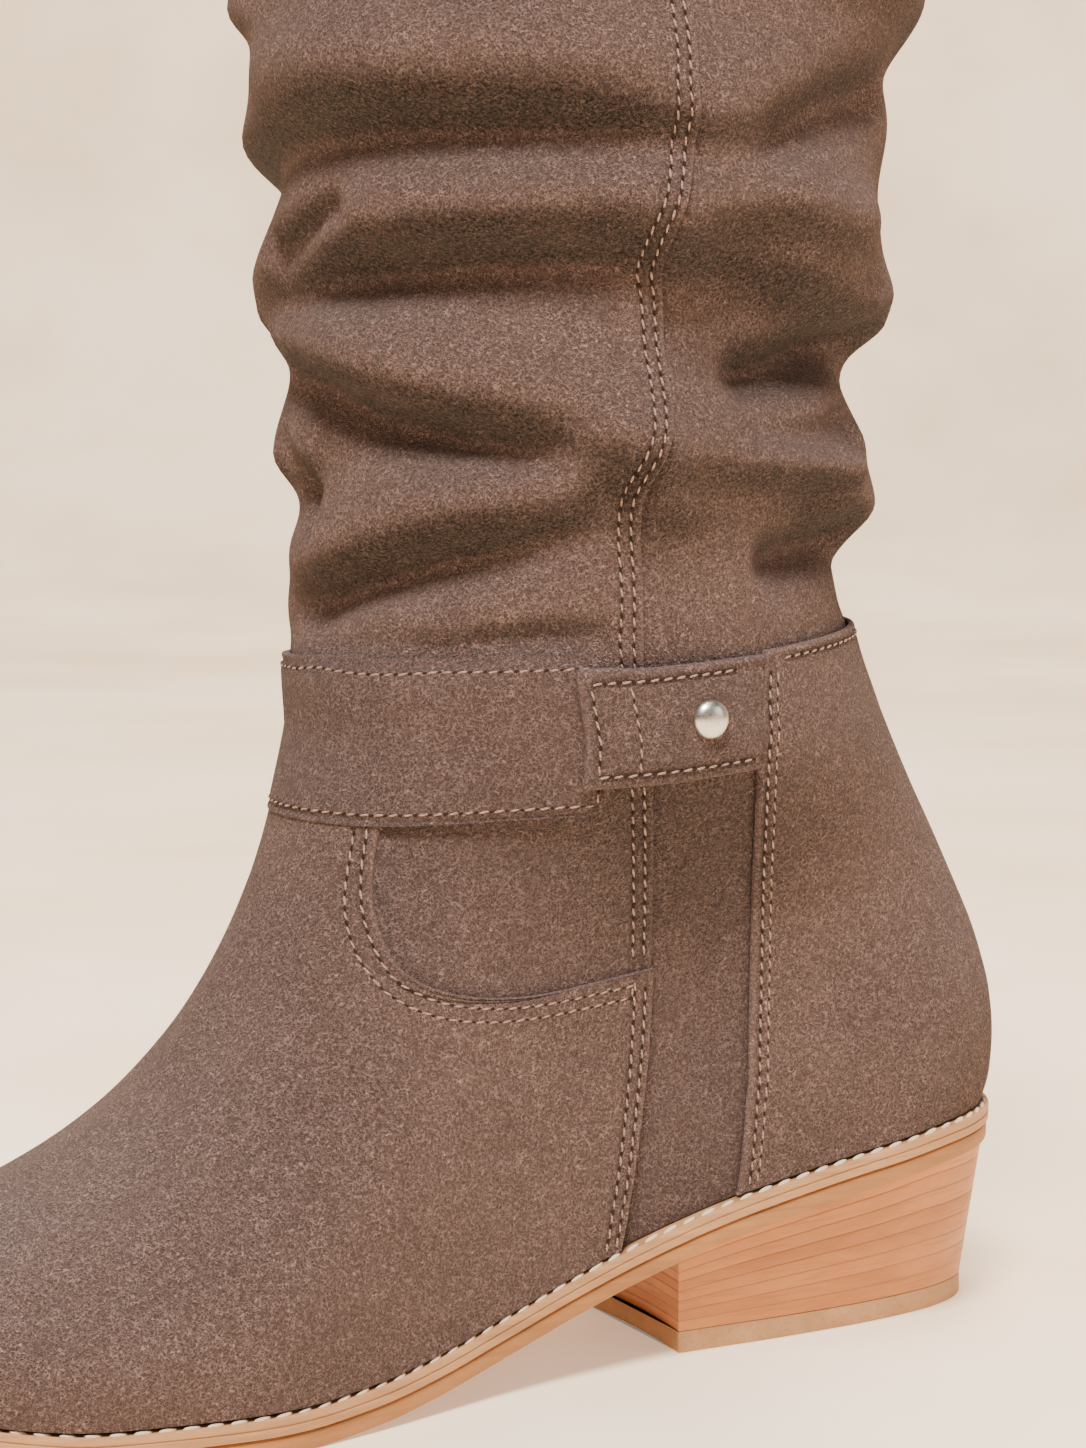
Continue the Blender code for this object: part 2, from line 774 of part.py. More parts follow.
def build():
    for obj in list(bpy.data.objects):
        bpy.data.objects.remove(obj, do_unlink=True)
    under = MIDSOLE_THICKNESS + GAP
    lift = make_material("heel lift rubber", (0.42, 0.25, 0.13), 0.6)
    heel_layer("top_lift", lift, 0.0, LIFT_THICKNESS)
    stack = make_material("stacked leather", (0.52, 0.28, 0.13), 0.5)
    heel_layer("heel_stack", stack, LIFT_THICKNESS + FLAT_GAP, None)
    sole = make_material("sole leather", (0.47, 0.29, 0.15), 0.55)
    sole_plate("outsole", sole, WELT_REACH / 8, under, OUTSOLE_THICKNESS)
    welt = make_material("welt leather", (0.60, 0.40, 0.23), 0.5)
    sole_plate("midsole", welt, 0.0, 0.0, MIDSOLE_THICKNESS)
    make_insole(make_material("insole leather", (0.55, 0.40, 0.27), 0.7))
    make_upper(make_material("quarter suede", (0.19, 0.13, 0.10), 0.95))
    make_shaft(make_material("shaft suede", (0.19, 0.13, 0.10), 0.95))
    make_vamp(make_material("vamp suede", (0.20, 0.14, 0.11), 0.95))
    make_counter(make_material("counter suede", (0.20, 0.14, 0.11), 0.95))
    make_strap(make_material("strap suede", (0.20, 0.14, 0.11), 0.95))
    make_tab(make_material("tab suede", (0.20, 0.14, 0.11), 0.95))
    make_rivet(make_material("satin nickel", (0.60, 0.57, 0.52), 0.3, 1.0))


build()
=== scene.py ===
"""Left slouch boot in taupe suede on a pale floor: panels, folds, stitching and finishes.

X runs from the toe (-) to the heel (+), the outer side of the foot is -Y, Z is up, in metres.
A turn runs round the boot from the front (0) by the outer side (0.25) and the back (0.5) to
the inner side (0.75). A rise runs from the welt (0) by the join of foot and shaft (1) to
the collar (2).
"""
import math

import bpy
import numpy as np
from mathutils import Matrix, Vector

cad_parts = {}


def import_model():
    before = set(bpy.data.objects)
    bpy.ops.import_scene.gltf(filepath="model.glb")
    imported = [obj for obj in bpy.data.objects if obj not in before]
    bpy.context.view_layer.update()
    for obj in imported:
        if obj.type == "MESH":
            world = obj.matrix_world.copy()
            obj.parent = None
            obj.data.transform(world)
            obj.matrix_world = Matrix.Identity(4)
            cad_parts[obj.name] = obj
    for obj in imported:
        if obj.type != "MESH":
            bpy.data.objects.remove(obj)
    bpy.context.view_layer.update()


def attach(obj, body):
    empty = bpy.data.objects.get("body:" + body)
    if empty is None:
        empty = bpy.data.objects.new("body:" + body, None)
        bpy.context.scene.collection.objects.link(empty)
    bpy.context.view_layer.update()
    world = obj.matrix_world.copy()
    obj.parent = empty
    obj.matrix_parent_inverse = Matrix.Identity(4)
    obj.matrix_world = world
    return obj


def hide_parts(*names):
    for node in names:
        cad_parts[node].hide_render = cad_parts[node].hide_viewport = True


MM = 0.001

# Sole and heel, as in the solids
SOLE_LENGTH = 0.266
SOLE_BACK = 0.045
BALL_WIDTH = 0.090
SEAT_WIDTH = 0.060
SEAT_HEIGHT = 0.0435
TOE_SPRING = 0.0080
OUTSOLE_THICKNESS = 0.0036
MIDSOLE_THICKNESS = 0.0036
WELT_REACH = 0.0032
HEEL_LENGTH = 0.0790
HEEL_WIDTH = 0.0430
HEEL_SPREAD = 0.0060
HEEL_LEAN = 0.0020
HEEL_HOLLOW = 0.0012
HEEL_LAYERS = 8
LIFT_THICKNESS = 0.0045

# Upper, shaft and overlays, as in the solids
WALL = 0.0018
ANKLE_FRONT = -0.1085
ANKLE_BACK = 0.0145
ANKLE_WIDTH = 0.0840
JOIN_HEIGHT = 0.1280
CALF_DEPTH = 0.1400
CALF_WIDTH = 0.1000
COLLAR_HEIGHT = 0.3350
SHAFT_HEIGHT = COLLAR_HEIGHT - JOIN_HEIGHT
# Metres of skin in one whole turn, near the strap
ANKLE_ROUND = 0.36
FOLD_HEIGHT = 0.0100
FOLD_REACH = 0.0150
FOLD_STEEP = 2.1
PANEL_STEP = 0.0010
OVERLAY = 0.0012
EDGE_ROLL = 0.0011
STITCH_SINK = 0.00042
COUNTER_HEIGHT = 0.1465
COUNTER_DROP = 0.0026
STRAP_BOTTOM = 0.1113
STRAP_WIDTH = 0.0310
STRAP_TILT = 0.0030
STRAP_END = 0.206
STRAP_THICKNESS = 0.0016
STRAP_CORNER = 0.0040
TAB_BOTTOM = 0.1196
TAB_WIDTH = 0.0220
TAB_TILT = 0.0016
TAB_END = 0.191
TAB_BACK = 0.2875
TAB_THICKNESS = 0.0015
RIVET_TURN = 0.257
RIVET_DIAMETER = 0.0078
RIVET_HEIGHT = 0.0026
GAP = 0.0003
VAMP_DEPTH = 0.0010
STRAP_DEPTH = 0.0011
COVER_DEPTH = 0.0006

# Thread
STITCH_PITCH = 0.0029
STITCH_LENGTH = 0.0020
STITCH_WIDTH = 0.00046
STITCH_SLANT = 0.16
WELT_PITCH = 0.0045
WELT_LENGTH = 0.0037
WELT_WIDTH = 0.0011
STITCH_INSET = 0.00004
# The holes between the stitches are flat dark marks: painted shade.
HOLE_LENGTH = 0.0011
HOLE_WIDTH = 0.00062
HOLE_HEIGHT = 0.0004
HOLE_INSET = 0.00010
SEAM_ROWS = (0.0021, 0.0046)
EDGE_ROWS = (0.0021, 0.0047)
COUNTER_ROWS = (0.0021, 0.0040)
STRAP_ROW = 0.0022
TAB_ROW = 0.0024

# Camera: the photograph's angle, lengths in pixels of its 1086 by 1448
CAMERA_PLACE = (-0.3838, -0.6401, 0.2087)
CAMERA_TURN = math.radians(-27.0)
CAMERA_TILT = math.radians(6.5)
FOCAL_LENGTH = 3600.0
PICTURE_HEIGHT = 1448.0

# Sole outline. along: share of the length from the back. seat and ball: shares of half the
# seat width and half the ball width. swing: share of the ball width, + is inward.
OUTLINE = (
    # along, seat, ball, swing
    (0.00, 0.93, 0.00, 0.000),
    (0.13, 1.01, 0.00, 0.000),
    (0.26, 0.98, 0.01, -0.009),
    (0.37, 0.62, 0.227, -0.022),
    (0.48, 0.30, 0.50, -0.029),
    (0.60, 0.06, 0.838, -0.029),
    (0.70, 0.00, 1.00, -0.022),
    (0.78, 0.00, 0.98, -0.006),
    (0.88, 0.00, 0.870, 0.030),
    (0.95, 0.00, 0.730, 0.052),
    (1.00, 0.00, 0.560, 0.066),
)
HEEL_ROUND = 0.125
TOE_ROUND = 0.26

# Height of the welt. lift: share of the seat's height over the ball. spring: share of the
# toe spring.
PROFILE = (
    # along, lift, spring
    (0.00, 1.000, 0.0),
    (0.08, 0.965, 0.0),
    (0.14, 0.890, 0.0),
    (0.20, 0.812, 0.0),
    (0.28, 0.690, 0.0),
    (0.36, 0.520, 0.0),
    (0.42, 0.375, 0.0),
    (0.48, 0.228, 0.0),
    (0.54, 0.104, 0.0),
    (0.60, 0.028, 0.0),
    (0.66, 0.000, 0.0),
    (0.80, 0.000, 0.0),
    (0.88, 0.000, 0.22),
    (1.00, 0.000, 1.00),
)

# Loops of the foot. front: share of the way from the toe tip to the ankle's front. back:
# share of the way from the ankle's back to the heel's back.
SECTIONS = (
    # rise, front, back
    (0.000, 0.000, 1.000),
    (0.079, 0.007, 1.074),
    (0.164, 0.062, 1.090),
    (0.212, 0.135, 1.083),
    (0.246, 0.254, 1.070),
    (0.286, 0.392, 1.052),
    (0.344, 0.529, 1.008),
    (0.430, 0.666, 0.925),
    (0.546, 0.785, 0.768),
    (0.679, 0.877, 0.560),
    (0.806, 0.941, 0.335),
    (0.933, 0.982, 0.112),
    (1.000, 1.000, 0.000),
)

# Loops of the shaft without its folds. depth and width: shares of the calf's depth and
# width. shift: the middle's way back from the ankle's, a share of the depth.
SHAFT = (
    # rise, depth, width, shift
    (1.00, 0.879, 0.840, 0.000),
    (1.08, 0.834, 0.840, -0.0225),
    (1.20, 0.748, 0.825, -0.0154),
    (1.35, 0.748, 0.830, -0.0347),
    (1.50, 0.846, 0.890, -0.0024),
    (1.66, 0.930, 0.955, 0.0158),
    (2.00, 1.000, 1.000, -0.0070),
)

# Folds of the shaft, each a ridge along a line through three points, steep underneath.
# height: share of the fold height.
FOLDS = (
    # start turn, rise, height, middle turn, rise, height, end turn, rise, height
    (-0.14, 1.533, 1.24, 0.055, 1.592, 1.15, 0.245, 1.575, 0.75),
    (-0.14, 1.400, 0.12, 0.165, 1.473, 1.05, 0.440, 1.381, 1.42),
    (-0.08, 1.393, 1.10, 0.055, 1.338, 0.85, 0.185, 1.290, 0.70),
    (-0.17, 1.318, 0.84, -0.075, 1.260, 0.87, 0.010, 1.285, 0.25),
    (-0.11, 1.105, 0.43, 0.140, 1.208, 0.85, 0.430, 1.208, 0.60),
    (0.32, 1.280, 0.20, 0.390, 1.276, 0.46, 0.460, 1.281, 0.25),
    (0.49, 1.505, 0.10, 0.660, 1.530, 0.70, 0.840, 1.485, 0.60),
    (0.47, 1.335, 0.05, 0.650, 1.370, 0.70, 0.840, 1.340, 0.50),
    (0.48, 1.195, 0.55, 0.690, 1.230, 0.60, 0.890, 1.180, 0.35),
    (-0.34, 1.695, 0.70, -0.210, 1.695, 0.90, -0.100, 1.679, 1.14),
    (0.30, 1.735, 0.30, 0.440, 1.691, 0.30, 0.600, 1.680, 0.50),
    (0.06, 1.790, 0.40, 0.250, 1.830, 0.50, 0.420, 1.790, 0.40),
    (0.55, 1.855, 0.30, 0.750, 1.830, 0.50, 0.920, 1.860, 0.40),
)
FOLD_FADE = 0.110

# Finer creases and puckers between the folds. height: share of the fold height, below 0 for
# a trough. reach: share of the fold reach.
# The creases: how deep, and how the stitched seam holds them flatter beside it
CREASE_DEPTH = 1.60
SEAM_TURN = 0.265
SEAM_REACH = 0.035
SEAM_HOLD = 0.65
CREASES = (
    # start turn, rise, middle turn, rise, end turn, rise, height, reach
    (-0.03, 1.574, 0.090, 1.566, 0.205, 1.560, -0.34, 0.62),
    (-0.02, 1.398, 0.110, 1.437, 0.235, 1.453, -0.42, 0.50),
    (0.225, 1.453, 0.300, 1.443, 0.380, 1.423, -0.36, 0.50),
    (0.000, 1.330, 0.080, 1.292, 0.160, 1.272, -0.50, 0.46),
    (-0.045, 1.262, -0.025, 1.235, -0.005, 1.205, -0.20, 0.34),
    (0.005, 1.122, 0.110, 1.172, 0.205, 1.214, -0.42, 0.46),
    (0.228, 1.219, 0.280, 1.222, 0.345, 1.212, -0.42, 0.44),
    (0.285, 1.553, 0.325, 1.578, 0.370, 1.592, -0.30, 0.40),
    (0.255, 1.540, 0.300, 1.511, 0.360, 1.487, 0.14, 0.45),
    (0.310, 1.330, 0.366, 1.346, 0.420, 1.370, -0.46, 0.32),
    (0.300, 1.276, 0.341, 1.273, 0.385, 1.281, -0.30, 0.30),
    (0.300, 1.266, 0.335, 1.251, 0.380, 1.242, 0.16, 0.30),
    (0.325, 1.158, 0.360, 1.166, 0.400, 1.177, -0.34, 0.30),
    (-0.025, 1.447, 0.012, 1.464, 0.040, 1.484, -0.30, 0.26),
    (0.030, 1.080, 0.075, 1.086, 0.115, 1.084, -0.18, 0.24),
    (0.145, 1.090, 0.178, 1.094, 0.206, 1.093, -0.18, 0.24),
    (0.060, 1.640, 0.140, 1.655, 0.200, 1.645, 0.10, 0.90),
    (0.560, 1.455, 0.680, 1.470, 0.820, 1.440, -0.38, 0.50),
    (0.560, 1.300, 0.690, 1.320, 0.840, 1.290, -0.40, 0.46),
    (0.540, 1.150, 0.690, 1.170, 0.860, 1.135, -0.34, 0.44),
    (0.620, 1.600, 0.700, 1.615, 0.800, 1.595, 0.16, 0.60),
    (0.420, 1.620, 0.500, 1.600, 0.580, 1.585, -0.22, 0.50),
    (0.440, 1.130, 0.480, 1.145, 0.530, 1.130, -0.22, 0.30),
)

# Side seam, where the front panel laps the rear one; the inner side mirrors it
SEAM = (
    # rise, turn
    (0.00, 0.2905),
    (0.10, 0.2905),
    (0.18, 0.2887),
    (0.215, 0.2861),
    (0.23, 0.2837),
    (0.25, 0.2798),
    (0.27, 0.2757),
    (0.29, 0.2721),
    (0.32, 0.2677),
    (0.36, 0.2631),
    (0.41, 0.2580),
    (0.47, 0.2534),
    (0.53, 0.2496),
    (0.60, 0.2455),
    (0.68, 0.2408),
    (0.76, 0.2361),
    (0.84, 0.2321),
    (0.92, 0.2293),
    (1.00, 0.2285),
    (1.08, 0.2300),
    (1.13, 0.2280),
    (1.19, 0.2232),
    (1.21, 0.2222),
    (1.23, 0.2242),
    (1.27, 0.2342),
    (1.31, 0.2414),
    (1.34, 0.2433),
    (1.37, 0.2429),
    (1.40, 0.2407),
    (1.44, 0.2333),
    (1.46, 0.2312),
    (1.50, 0.2342),
    (1.53, 0.2367),
    (1.56, 0.2360),
    (1.60, 0.2326),
    (1.68, 0.2325),
    (2.00, 0.2360),
)

# Upper edge of the vamp, from the side seam round the ankle to the strap
VAMP = (
    # row, edge
    (0.000, 0.300),
    (0.616, 0.300),
    (0.623, 0.210),
    (0.634, 0.188),
    (0.661, 0.162),
    (0.697, 0.140),
    (0.737, 0.1225),
    (0.779, 0.111),
    (0.825, 0.101),
    (0.870, 0.094),
    (0.935, 0.089),
    (1.000, 0.0875),
)

# Counter, from the welt up over the join. edge turn at shares of its height.
COUNTER = (
    # share, edge turn
    (0.000, 0.3255),
    (0.093, 0.3243),
    (0.167, 0.3220),
    (0.200, 0.3197),
    (0.232, 0.3144),
    (0.269, 0.3082),
    (0.297, 0.3048),
    (0.334, 0.3012),
    (0.381, 0.2976),
    (0.436, 0.2947),
    (0.557, 0.2906),
    (0.706, 0.2867),
    (0.800, 0.2858),
    (0.880, 0.2870),
    (0.940, 0.2915),
    (1.000, 0.3045),
)

# Heel outline from the breast to the back. width: share of the heel's width. spread: how
# much wider the top is, a share of the heel's spread.
HEEL = (
    # along, width, spread
    (0.00, 1.000, 0.58),
    (0.24, 0.990, 0.68),
    (0.47, 0.950, 0.82),
    (0.60, 0.900, 0.93),
    (0.79, 0.760, 1.00),
    (0.91, 0.560, 0.95),
    (0.97, 0.360, 0.80),
    (1.00, 0.160, 0.60),
)

# Distances from an edge at which a panel has its fine rows, in millimetres
NEAR_COLLAR = (2.6, 2.0, 1.4, 0.9, 0.5, 0.25, 0.1, 0.0)
NEAR_EDGE = (0.0, 0.12, 0.28, 0.5, 0.8, 1.2, 1.7, 2.1, 2.5, 3.0, 3.5, 4.1, 4.6, 5.1, 5.8, 6.8)


def smoothstep(low, high, value):
    """0 up to low, 1 from high, and an even S between."""
    t = np.clip((value - low) / (high - low), 0.0, 1.0)
    return t * t * (3.0 - 2.0 * t)


def blend(start, end, share):
    return start + (end - start) * share


def curve(rows, column, key, by=0):
    """A smooth curve without overshoot through one column of a table."""
    keys = np.array([row[by] for row in rows], float)
    values = np.array([row[column] for row in rows], float)
    gaps = np.diff(keys)
    slopes = np.diff(values) / gaps
    bends = np.concatenate((slopes[:1], np.zeros(len(keys) - 2), slopes[-1:]))
    together = slopes[:-1] * slopes[1:] > 0
    total = np.where(together, slopes[:-1] + slopes[1:], 1.0)
    bends[1:-1] = np.where(together, 2 * slopes[:-1] * slopes[1:] / total, 0.0)
    key = np.clip(key, keys[0], keys[-1])
    low = np.clip(np.searchsorted(keys, key, side="right") - 1, 0, len(keys) - 2)
    t = (key - keys[low]) / gaps[low]
    rest = 1.0 - t
    return (
        values[low] * (1 + 2 * t) * rest * rest
        + bends[low] * gaps[low] * t * rest * rest
        + values[low + 1] * t * t * (3 - 2 * t)
        - bends[low + 1] * gaps[low] * t * t * rest
    )


def along_at(x):
    """Share of the sole's length from its back."""
    return (SOLE_BACK - x) / SOLE_LENGTH


def half_width(along):
    """Half the width of the sole, rounded at the toe only."""
    half = curve(OUTLINE, 1, along) * SEAT_WIDTH / 2 + curve(OUTLINE, 2, along) * BALL_WIDTH / 2
    toe = np.clip((along - 1.0 + TOE_ROUND) / TOE_ROUND, 0.0, 1.0)
    return half * np.sqrt(np.maximum(1.0 - toe ** 3.2, 0.0))


def heel_round(share):
    """Narrowing towards the back, 1 at share 0 and closed at share 1."""
    return (1.0 - np.clip(share, 0.0, 1.0) ** 2.3) ** (1 / 2.1)


def middle_line(along):
    return curve(OUTLINE, 3, along) * BALL_WIDTH


def welt_height(x):
    """Height of the welt's top over the floor."""
    ball = OUTSOLE_THICKNESS + MIDSOLE_THICKNESS + GAP
    along = along_at(x)
    lift = curve(PROFILE, 1, along) * (SEAT_HEIGHT - ball)
    return ball + lift + curve(PROFILE, 2, along) * TOE_SPRING


def foot_half(x, rise, front, back):
    """Half width of the foot part of a loop, from the last's own section."""
    tip = SOLE_BACK - SOLE_LENGTH + WELT_REACH
    reach = np.clip((x - tip) / (ANKLE_FRONT - tip), 0.0, 1.0)
    ridge = np.maximum(np.maximum(curve(SECTIONS, 0, reach, by=1), rise), 0.001)
    share = np.minimum(rise / ridge, 1.0)
    section = (1.0 - share ** 2.3) ** 0.55
    section = section * (1.0 + 0.05 * np.sin(math.pi * np.minimum(share / 0.6, 1.0)))
    half = np.maximum(half_width(along_at(x)) - WELT_REACH, 0.0) * section
    half = half * heel_round((x - back + HEEL_ROUND * SOLE_LENGTH) / (HEEL_ROUND * SOLE_LENGTH))
    closing = np.clip((front + WELT_REACH * 2 - x) / (WELT_REACH * 2), 0.0, 1.0)
    return half * np.sqrt(1.0 - closing ** 2.4)


def foot_point(turn, rise):
    """Outer face of the foot, from the welt (rise 0) to the join (rise 1)."""
    tip = SOLE_BACK - SOLE_LENGTH + WELT_REACH
    front = blend(tip, ANKLE_FRONT, curve(SECTIONS, 1, rise))
    back = blend(ANKLE_BACK, SOLE_BACK - WELT_REACH, curve(SECTIONS, 2, rise))
    ankle = ANKLE_WIDTH / 2 * blend(0.86, 1.0, smoothstep(0.3, 1.0, rise))
    angle = 2 * math.pi * turn
    x = blend(front, back, (1.0 - np.cos(angle)) / 2)
    side = np.where(turn % 1.0 < 0.5, -1.0, 1.0)
    share = smoothstep(0.22, 1.0, rise)
    half = blend(foot_half(x, rise, front, back), ankle * np.abs(np.sin(angle)), share)
    y = middle_line(along_at(x)) * (1.0 - share) + side * half
    low = welt_height(x) + GAP
    return np.stack((x, y, blend(low, JOIN_HEIGHT, rise)), -1)


def three_point(keys, values, key):
    """The parabola through three points, held at its ends."""
    key = np.clip(key, keys[0], keys[2])
    a, b, c = keys
    return (
        values[0] * (key - b) * (key - c) / ((a - b) * (a - c))
        + values[1] * (key - a) * (key - c) / ((b - a) * (b - c))
        + values[2] * (key - a) * (key - b) / ((c - a) * (c - b))
    )


def on_line(turns, at, fade):
    """1 along a fold's line, fading out past its ends."""
    start = smoothstep(turns[0] - fade, turns[0], at)
    return start * (1.0 - smoothstep(turns[2], turns[2] + fade, at))


def fold_height(turn, rise):
    """How far the folds of the shaft stand out."""
    total = np.zeros(np.broadcast(turn, rise).shape)
    for row in FOLDS:
        turns, rises, heights = row[0::3], row[1::3], row[2::3]
        for lap in (-1.0, 0.0, 1.0):
            at = turn + lap
            shown = on_line(turns, at, FOLD_FADE)
            if not np.any(shown):
                continue
            away = (rise - three_point(turns, rises, at)) * SHAFT_HEIGHT / FOLD_REACH
            away = np.where(away < 0, away * FOLD_STEEP, away)
            total += shown * three_point(turns, heights, at) * np.exp(-away * away)
    return total * FOLD_HEIGHT


def crease_height(turn, rise):
    """The finer creases, low ridges and troughs."""
    total = np.zeros(np.broadcast(turn, rise).shape)
    for row in CREASES:
        turns, rises = row[0:6:2], row[1:6:2]
        height, reach = row[6:]
        fade = (turns[2] - turns[0]) * 0.40
        for lap in (-1.0, 0.0, 1.0):
            at = turn + lap
            shown = on_line(turns, at, fade)
            if not np.any(shown):
                continue
            away = (rise - three_point(turns, rises, at)) * SHAFT_HEIGHT / (FOLD_REACH * reach)
            total += shown * height * np.exp(-away * away)
    from_seam = np.abs(np.mod(turn, 1.0) - 0.5) - SEAM_TURN
    held = SEAM_HOLD * np.exp(-((from_seam / SEAM_REACH) ** 2))
    return total * FOLD_HEIGHT * CREASE_DEPTH * (1.0 - held)


def shaft_point(turn, rise):
    """Outer face of the shaft, from the join (rise 1) to the collar (rise 2)."""
    angle = 2 * math.pi * turn
    depth = curve(SHAFT, 1, rise) * CALF_DEPTH / 2
    width = curve(SHAFT, 2, rise) * CALF_WIDTH / 2
    middle = (ANKLE_FRONT + ANKLE_BACK) / 2 + curve(SHAFT, 3, rise) * CALF_DEPTH
    out_x, out_y = -width * np.cos(angle), -depth * np.sin(angle)
    size = np.hypot(out_x, out_y)
    stand = fold_height(turn, rise) + crease_height(turn, rise)
    x = middle - depth * np.cos(angle) + out_x / size * stand
    y = -width * np.sin(angle) + out_y / size * stand
    return np.stack((x, y, blend(JOIN_HEIGHT, COLLAR_HEIGHT, rise - 1.0)), -1)


def skin_point(turn, rise):
    """Outer face of the boot under its overlays and without the step at the side seam."""
    turn, rise = np.broadcast_arrays(np.asarray(turn, float), np.asarray(rise, float))
    points = np.empty(turn.shape + (3,))
    low = rise <= 1.0
    points[low] = foot_point(turn[low], np.maximum(rise[low], 0.0))
    points[~low] = shaft_point(turn[~low], np.minimum(rise[~low], 2.0))
    return points


def unit(vectors):
    return vectors / np.maximum(np.linalg.norm(vectors, axis=-1, keepdims=True), 1e-12)


def skin_normal(turn, rise):
    """Outward direction of the skin."""
    turn, rise = np.broadcast_arrays(np.asarray(turn, float), np.asarray(rise, float))
    around = skin_point(turn + 0.003, rise) - skin_point(turn - 0.003, rise)
    low = np.clip(rise - 0.008, 0.0, 1.984)
    up = skin_point(turn, low + 0.016) - skin_point(turn, low)
    return unit(np.cross(around, up))


def level_normal(turn, rise, edges=(0.0, 1.0, 2.0)):
    """The same direction, turned level at the given rises."""
    normal = skin_normal(turn, rise)
    level = np.min([smoothstep(0.0, 0.07, np.abs(rise - edge)) for edge in edges], axis=0)
    normal[..., 2] *= level
    return unit(normal)


def over_skin(turn, rise, distance):
    """Points this far over the skin, level with it at the welt."""
    turn, rise = np.broadcast_arrays(np.asarray(turn, float), np.asarray(rise, float))
    distance = np.broadcast_to(np.asarray(distance, float), turn.shape)
    return skin_point(turn, rise) + level_normal(turn, rise, (0.0,)) * distance[..., None]


def rise_at(turn, height):
    """Rise of the skin's point at this height over the floor."""
    turn, height = np.broadcast_arrays(np.asarray(turn, float), np.asarray(height, float))
    low, high = np.zeros(turn.shape), np.full(turn.shape, 2.0)
    for _ in range(22):
        middle = (low + high) / 2
        under = skin_point(turn, middle)[..., 2] < height
        low, high = np.where(under, middle, low), np.where(under, high, middle)
    return (low + high) / 2


def seam_turn(rise):
    return curve(SEAM, 1, rise)


def seam_warp(turn, rise):
    """Moves the nominal seam at a quarter turn onto the side seam."""
    side = np.where(turn < 0.5, turn, 1.0 - turn)
    near = 1.0 - smoothstep(0.0, 0.12, np.abs(side - 0.25))
    side = side + (seam_turn(rise) - 0.25) * near
    return np.where(turn < 0.5, side, 1.0 - side)


def metric(turn, rise):
    """Metres of skin to one turn and to one rise."""
    around = skin_point(turn + 0.002, rise) - skin_point(turn - 0.002, rise)
    low = np.clip(rise - 0.01, 0.0, 1.98)
    up = skin_point(turn, low + 0.02) - skin_point(turn, low)
    return np.linalg.norm(around, axis=-1) / 0.004, np.linalg.norm(up, axis=-1) / 0.02


def beside(turn, rise, distance):
    """A line moved over the skin to its left, seen from outside going along it."""
    per_turn, per_rise = metric(turn, rise)
    along = unit(np.stack((np.gradient(turn) * per_turn, np.gradient(rise) * per_rise), -1))
    return turn - along[:, 1] * distance / per_turn, rise + along[:, 0] * distance / per_rise


def closed_sheet(name, lower, upper, materials, marks=None, wrap=False):
    """One closed body between two grids of points, with marks kept on its points."""
    rows, columns = upper.shape[:2]
    count = rows * columns
    index = np.arange(count).reshape(rows, columns)
    after = np.roll(index, -1, axis=1)
    last = columns if wrap else columns - 1
    a, b = index[:-1, :last], after[:-1, :last]
    c, d = after[1:, :last], index[1:, :last]
    faces_up = np.stack((a, b, c, d), -1).reshape(-1, 4)
    faces_low = faces_up[:, ::-1] + count
    rims = []
    for row, flip in ((0, True), (rows - 1, False)):
        i, j = index[row, :last], after[row, :last]
        rim = np.stack((i, j, j + count, i + count), -1)
        rims.append(rim[:, ::-1] if flip is False else rim)
    if not wrap:
        for column, flip in ((0, False), (columns - 1, True)):
            i, j = index[:-1, column], index[1:, column]
            rim = np.stack((i, j, j + count, i + count), -1)
            rims.append(rim[:, ::-1] if flip is False else rim)
    faces = np.concatenate([faces_up, faces_low] + [r[:, ::-1] for r in rims])
    points = np.concatenate((upper.reshape(-1, 3), lower.reshape(-1, 3)))
    obj = new_mesh(name, points, faces, materials)
    if len(materials) > 1:
        inside = np.zeros(len(faces), np.int32)
        inside[len(faces_up):2 * len(faces_up)] = 1
        obj.data.polygons.foreach_set("material_index", inside)
    for mark, values in (marks or {}).items():
        flat = np.tile(np.asarray(values, np.float32).reshape(-1), 2)
        obj.data.attributes.new(mark, "FLOAT", "POINT").data.foreach_set("value", flat)
    return obj


def new_mesh(name, points, faces, materials, smooth=True):
    """An object from points and four-cornered faces, its faces turned outward."""
    mesh = bpy.data.meshes.new(name)
    mesh.from_pydata(points.tolist(), [], faces.tolist())
    mesh.update()
    for material in materials:
        mesh.materials.append(material)
    if signed_volume(points, faces) < 0:
        mesh.flip_normals()
    mesh.polygons.foreach_set("use_smooth", np.full(len(faces), smooth))
    mesh.set_sharp_from_angle(angle=math.radians(50))
    obj = bpy.data.objects.new(name, mesh)
    bpy.context.scene.collection.objects.link(obj)
    return obj


def signed_volume(points, faces):
    """Six times the volume, below 0 where the faces look inward."""
    a, b, c, d = (points[faces[:, k]] for k in range(4))
    first = np.einsum("ij,ij->i", a, np.cross(b, c))
    second = np.einsum("ij,ij->i", a, np.cross(c, d))
    return float((first + second).sum())


def face_outward(mesh):
    """Turns the faces over where they look inward."""
    mesh.calc_loop_triangles()
    place = [vertex.co for vertex in mesh.vertices]
    corners = [[place[k] for k in triangle.vertices] for triangle in mesh.loop_triangles]
    if sum(a.dot(b.cross(c)) for a, b, c in corners) < 0:
        mesh.flip_normals()


def keep(obj, nodes):
    """The piece stands for these solids and rides with the boot."""
    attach(obj, "root")
    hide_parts(*nodes)
    return obj


def add_node(tree, kind, inputs=None, **settings):
    """A shader or geometry node, its inputs given as values or as other nodes' sockets."""
    node = tree.nodes.new(kind)
    for key, value in settings.items():
        setattr(node, key, value)
    for key, value in (inputs or {}).items():
        if isinstance(value, bpy.types.NodeSocket):
            tree.links.new(value, node.inputs[key])
        else:
            node.inputs[key].default_value = value
    return node


